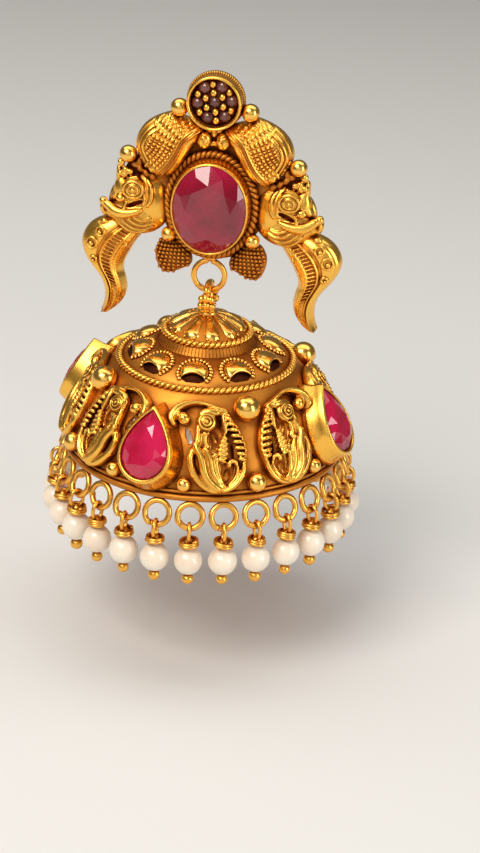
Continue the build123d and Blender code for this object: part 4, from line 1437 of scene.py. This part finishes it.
def make_stud():
    """The plate with its settings, the mirrored ornament, the post, and the stones."""
    feet = iter(np.linspace(0.01, 0.15, 24))

    def add(name, forms, material=GOLD):
        """Adds a piece whose flat back lies a hair in front of the one before, so that no two coincide."""
        foot = next(feet)
        level = forms.mapped(lambda v: columns(v[:, :2], v[:, 2].clip(foot)))
        return piece(name, level.mapped(on_stud), material, "stud", ("stud_frame",))

    back = stud_plate(-0.03, 0.45).mapped(on_stud)
    piece("stud_back", back, GOLD, "stud", ("stud_frame",)).data.shade_flat()
    add("stud_plate", stud_plate(0.46, 0.7), DARK_GOLD).data.shade_flat()
    floor = Forms().slab(ellipse(2.54, 2.54, 96, (0, CLUSTER_Y)), 0.9, 1.42)
    rows = (("oval_setting", oval_setting()), ("oval_rope", oval_rope(), DARK_GOLD),
            ("cluster_setting", cluster_setting()), ("cluster_grains", cluster_grains()),
            ("cluster_floor", floor, CUP_GOLD), ("curl_beads", curl_beads()),
            ("stud_balls", solder_balls(), POLISHED_GOLD), ("hanging_ring", hanging_ring(), WIRE_GOLD))
    for row in rows:
        add(*row)
    mouth = Forms().slab(leaning_ellipse(7.85, -0.35, 0.92, 0.27, -24), 0.7, 4.0)
    makara = makara_forms().melted(VOXEL, smooth=3, keep=0.5, recesses=mouth).join(makara_eye())
    half = (("pod", pod_forms(), GOLD), ("makara", makara, RELIEF_GOLD), ("trunk", trunk_forms(), GOLD),
            ("fan", fan_forms(), DARK_GOLD), ("leaves", leaf_fill(), DARK_GOLD))
    for hand in ("right", "left"):
        for name, forms, material in half:
            add(f"{name}_{hand}", forms if hand == "right" else forms.mirrored(), material)
    piece("ear_post_pin", ear_post(), GOLD, "stud", ("ear_post",))
    ruby = facets(ellipse(3.84, 4.7, 64), (0, 0), 8, ((0.6, 3.85), (0.82, 3.4), (1.0, 2.8)), 1.1)
    piece("ruby_oval", ruby.mapped(on_stud), RUBY, "stud", ("centre_ruby",), flat_shaded=True)
    piece("cluster_brilliants", cluster_stones().mapped(on_stud), CLUSTER_STONE, "stud",
          ("cluster_stones",), flat_shaded=True)


def pear_stones():
    """The bell's four cut stones, in their collets."""
    outline = pear_outline(PEAR_HALF_WIDTH - 0.05, PEAR_LENGTH - 0.1)
    outline = np.roll(outline, -outline[:, 1].argmax(), axis=0)[::2]
    gem = facets(outline, (0, -0.7), 9, ((0.55, 3.3), (0.8, 3.05), (1.0, 2.6)), 1.4)
    for k, azimuth in enumerate(PEARS, 1):
        piece(f"pear_ruby_{k}", gem.mapped(on_pear(azimuth)), PEAR_RUBY, "bell",
              (f"bell_ruby_{k}",), flat_shaded=True)


make_stud()
pear_stones()


# ---- floor, light and camera ----
def add_floor():
    """A plain pale floor under the earring."""
    bpy.ops.mesh.primitive_plane_add(size=4.0, location=(0, 0, cad_box[0].z - 0.012))
    floor = bpy.context.object
    floor.name = "floor"
    material, tree, shader = new_material("floor")
    feed(tree, shader, {"Base Color": (0.74, 0.73, 0.71, 1.0), "Roughness": 0.85})
    floor.data.materials.append(material)


# lamps: name, place and size in metres, power in watts, and colour; each one faces the earring's middle
LAMPS = [
    ("key", (-0.14, -0.26, 0.30), (0.26, 0.18), 1.35, (1.0, 0.95, 0.88)),
    ("side", (0.34, -0.16, 0.06), (0.12, 0.26), 0.5, (1, 1, 1)),
    ("top", (0.0, 0.06, 0.36), (0.75, 0.28), 1.1, (1, 1, 1)),
    ("front", (0.04, -0.46, 0.14), (0.50, 0.30), 0.3, (1, 1, 1)),
]
WORLD_COLOUR = (0.60, 0.56, 0.51, 1)
WORLD_STRENGTH = 0.26
VIEW_AZIMUTH = radians(8.0)
VIEW_ELEVATION = radians(24.8)
VIEW_ROLL = radians(2.6)
VIEW_DISTANCE = 220.0
VIEW_SHIFT = (3.9, 1.35)       # of the view's middle from the rim's, to the right and up
LENS = 86.3


def place_in_scene(name, data, place, turn):
    """An object for a lamp or camera, at a place in metres, with a quaternion for its turn."""
    holder = bpy.data.objects.new(name, data)
    bpy.context.collection.objects.link(holder)
    holder.location = place
    holder.rotation_mode = "QUATERNION"
    holder.rotation_quaternion = turn
    return holder


def add_lights():
    """The lamps, and the pale light all round."""
    middle = (cad_box[0] + cad_box[1]) / 2
    for name, place, size, power, colour in LAMPS:
        lamp = bpy.data.lights.new(name, "AREA")
        lamp.shape = "RECTANGLE"
        lamp.size, lamp.size_y = size
        lamp.energy = power
        lamp.color = colour
        place_in_scene(name, lamp, place, (middle - Vector(place)).to_track_quat("-Z", "Y"))
    world = bpy.data.worlds.new("studio")
    bpy.context.scene.world = world
    world.use_nodes = True
    tree = world.node_tree
    feed(tree, tree.nodes["Background"], {"Color": WORLD_COLOUR, "Strength": WORLD_STRENGTH})


def add_camera():
    """A long lens a little above and to the right, rolled slightly, as the earring is displayed."""
    flat = cos(VIEW_ELEVATION)
    back = Vector((sin(VIEW_AZIMUTH) * flat, -cos(VIEW_AZIMUTH) * flat, sin(VIEW_ELEVATION)))
    right = Vector((cos(VIEW_AZIMUTH), sin(VIEW_AZIMUTH), 0))
    up = back.cross(right)
    aim = Vector((0, AXIS_Y, RIM_Z)) + right * VIEW_SHIFT[0] + up * VIEW_SHIFT[1]
    data = bpy.data.cameras.new("camera")
    data.lens = LENS
    data.sensor_width = 36.0
    data.clip_start, data.clip_end = 0.01, 20.0
    turn = Matrix.Rotation(VIEW_ROLL, 3, back)
    axes = Matrix((turn @ right, turn @ up, back)).transposed()
    place = (aim + back * VIEW_DISTANCE) * MM
    bpy.context.scene.camera = place_in_scene("camera", data, place, axes.to_quaternion())


add_floor()
add_lights()
add_camera()
bpy.context.scene.view_settings.view_transform = "Standard"
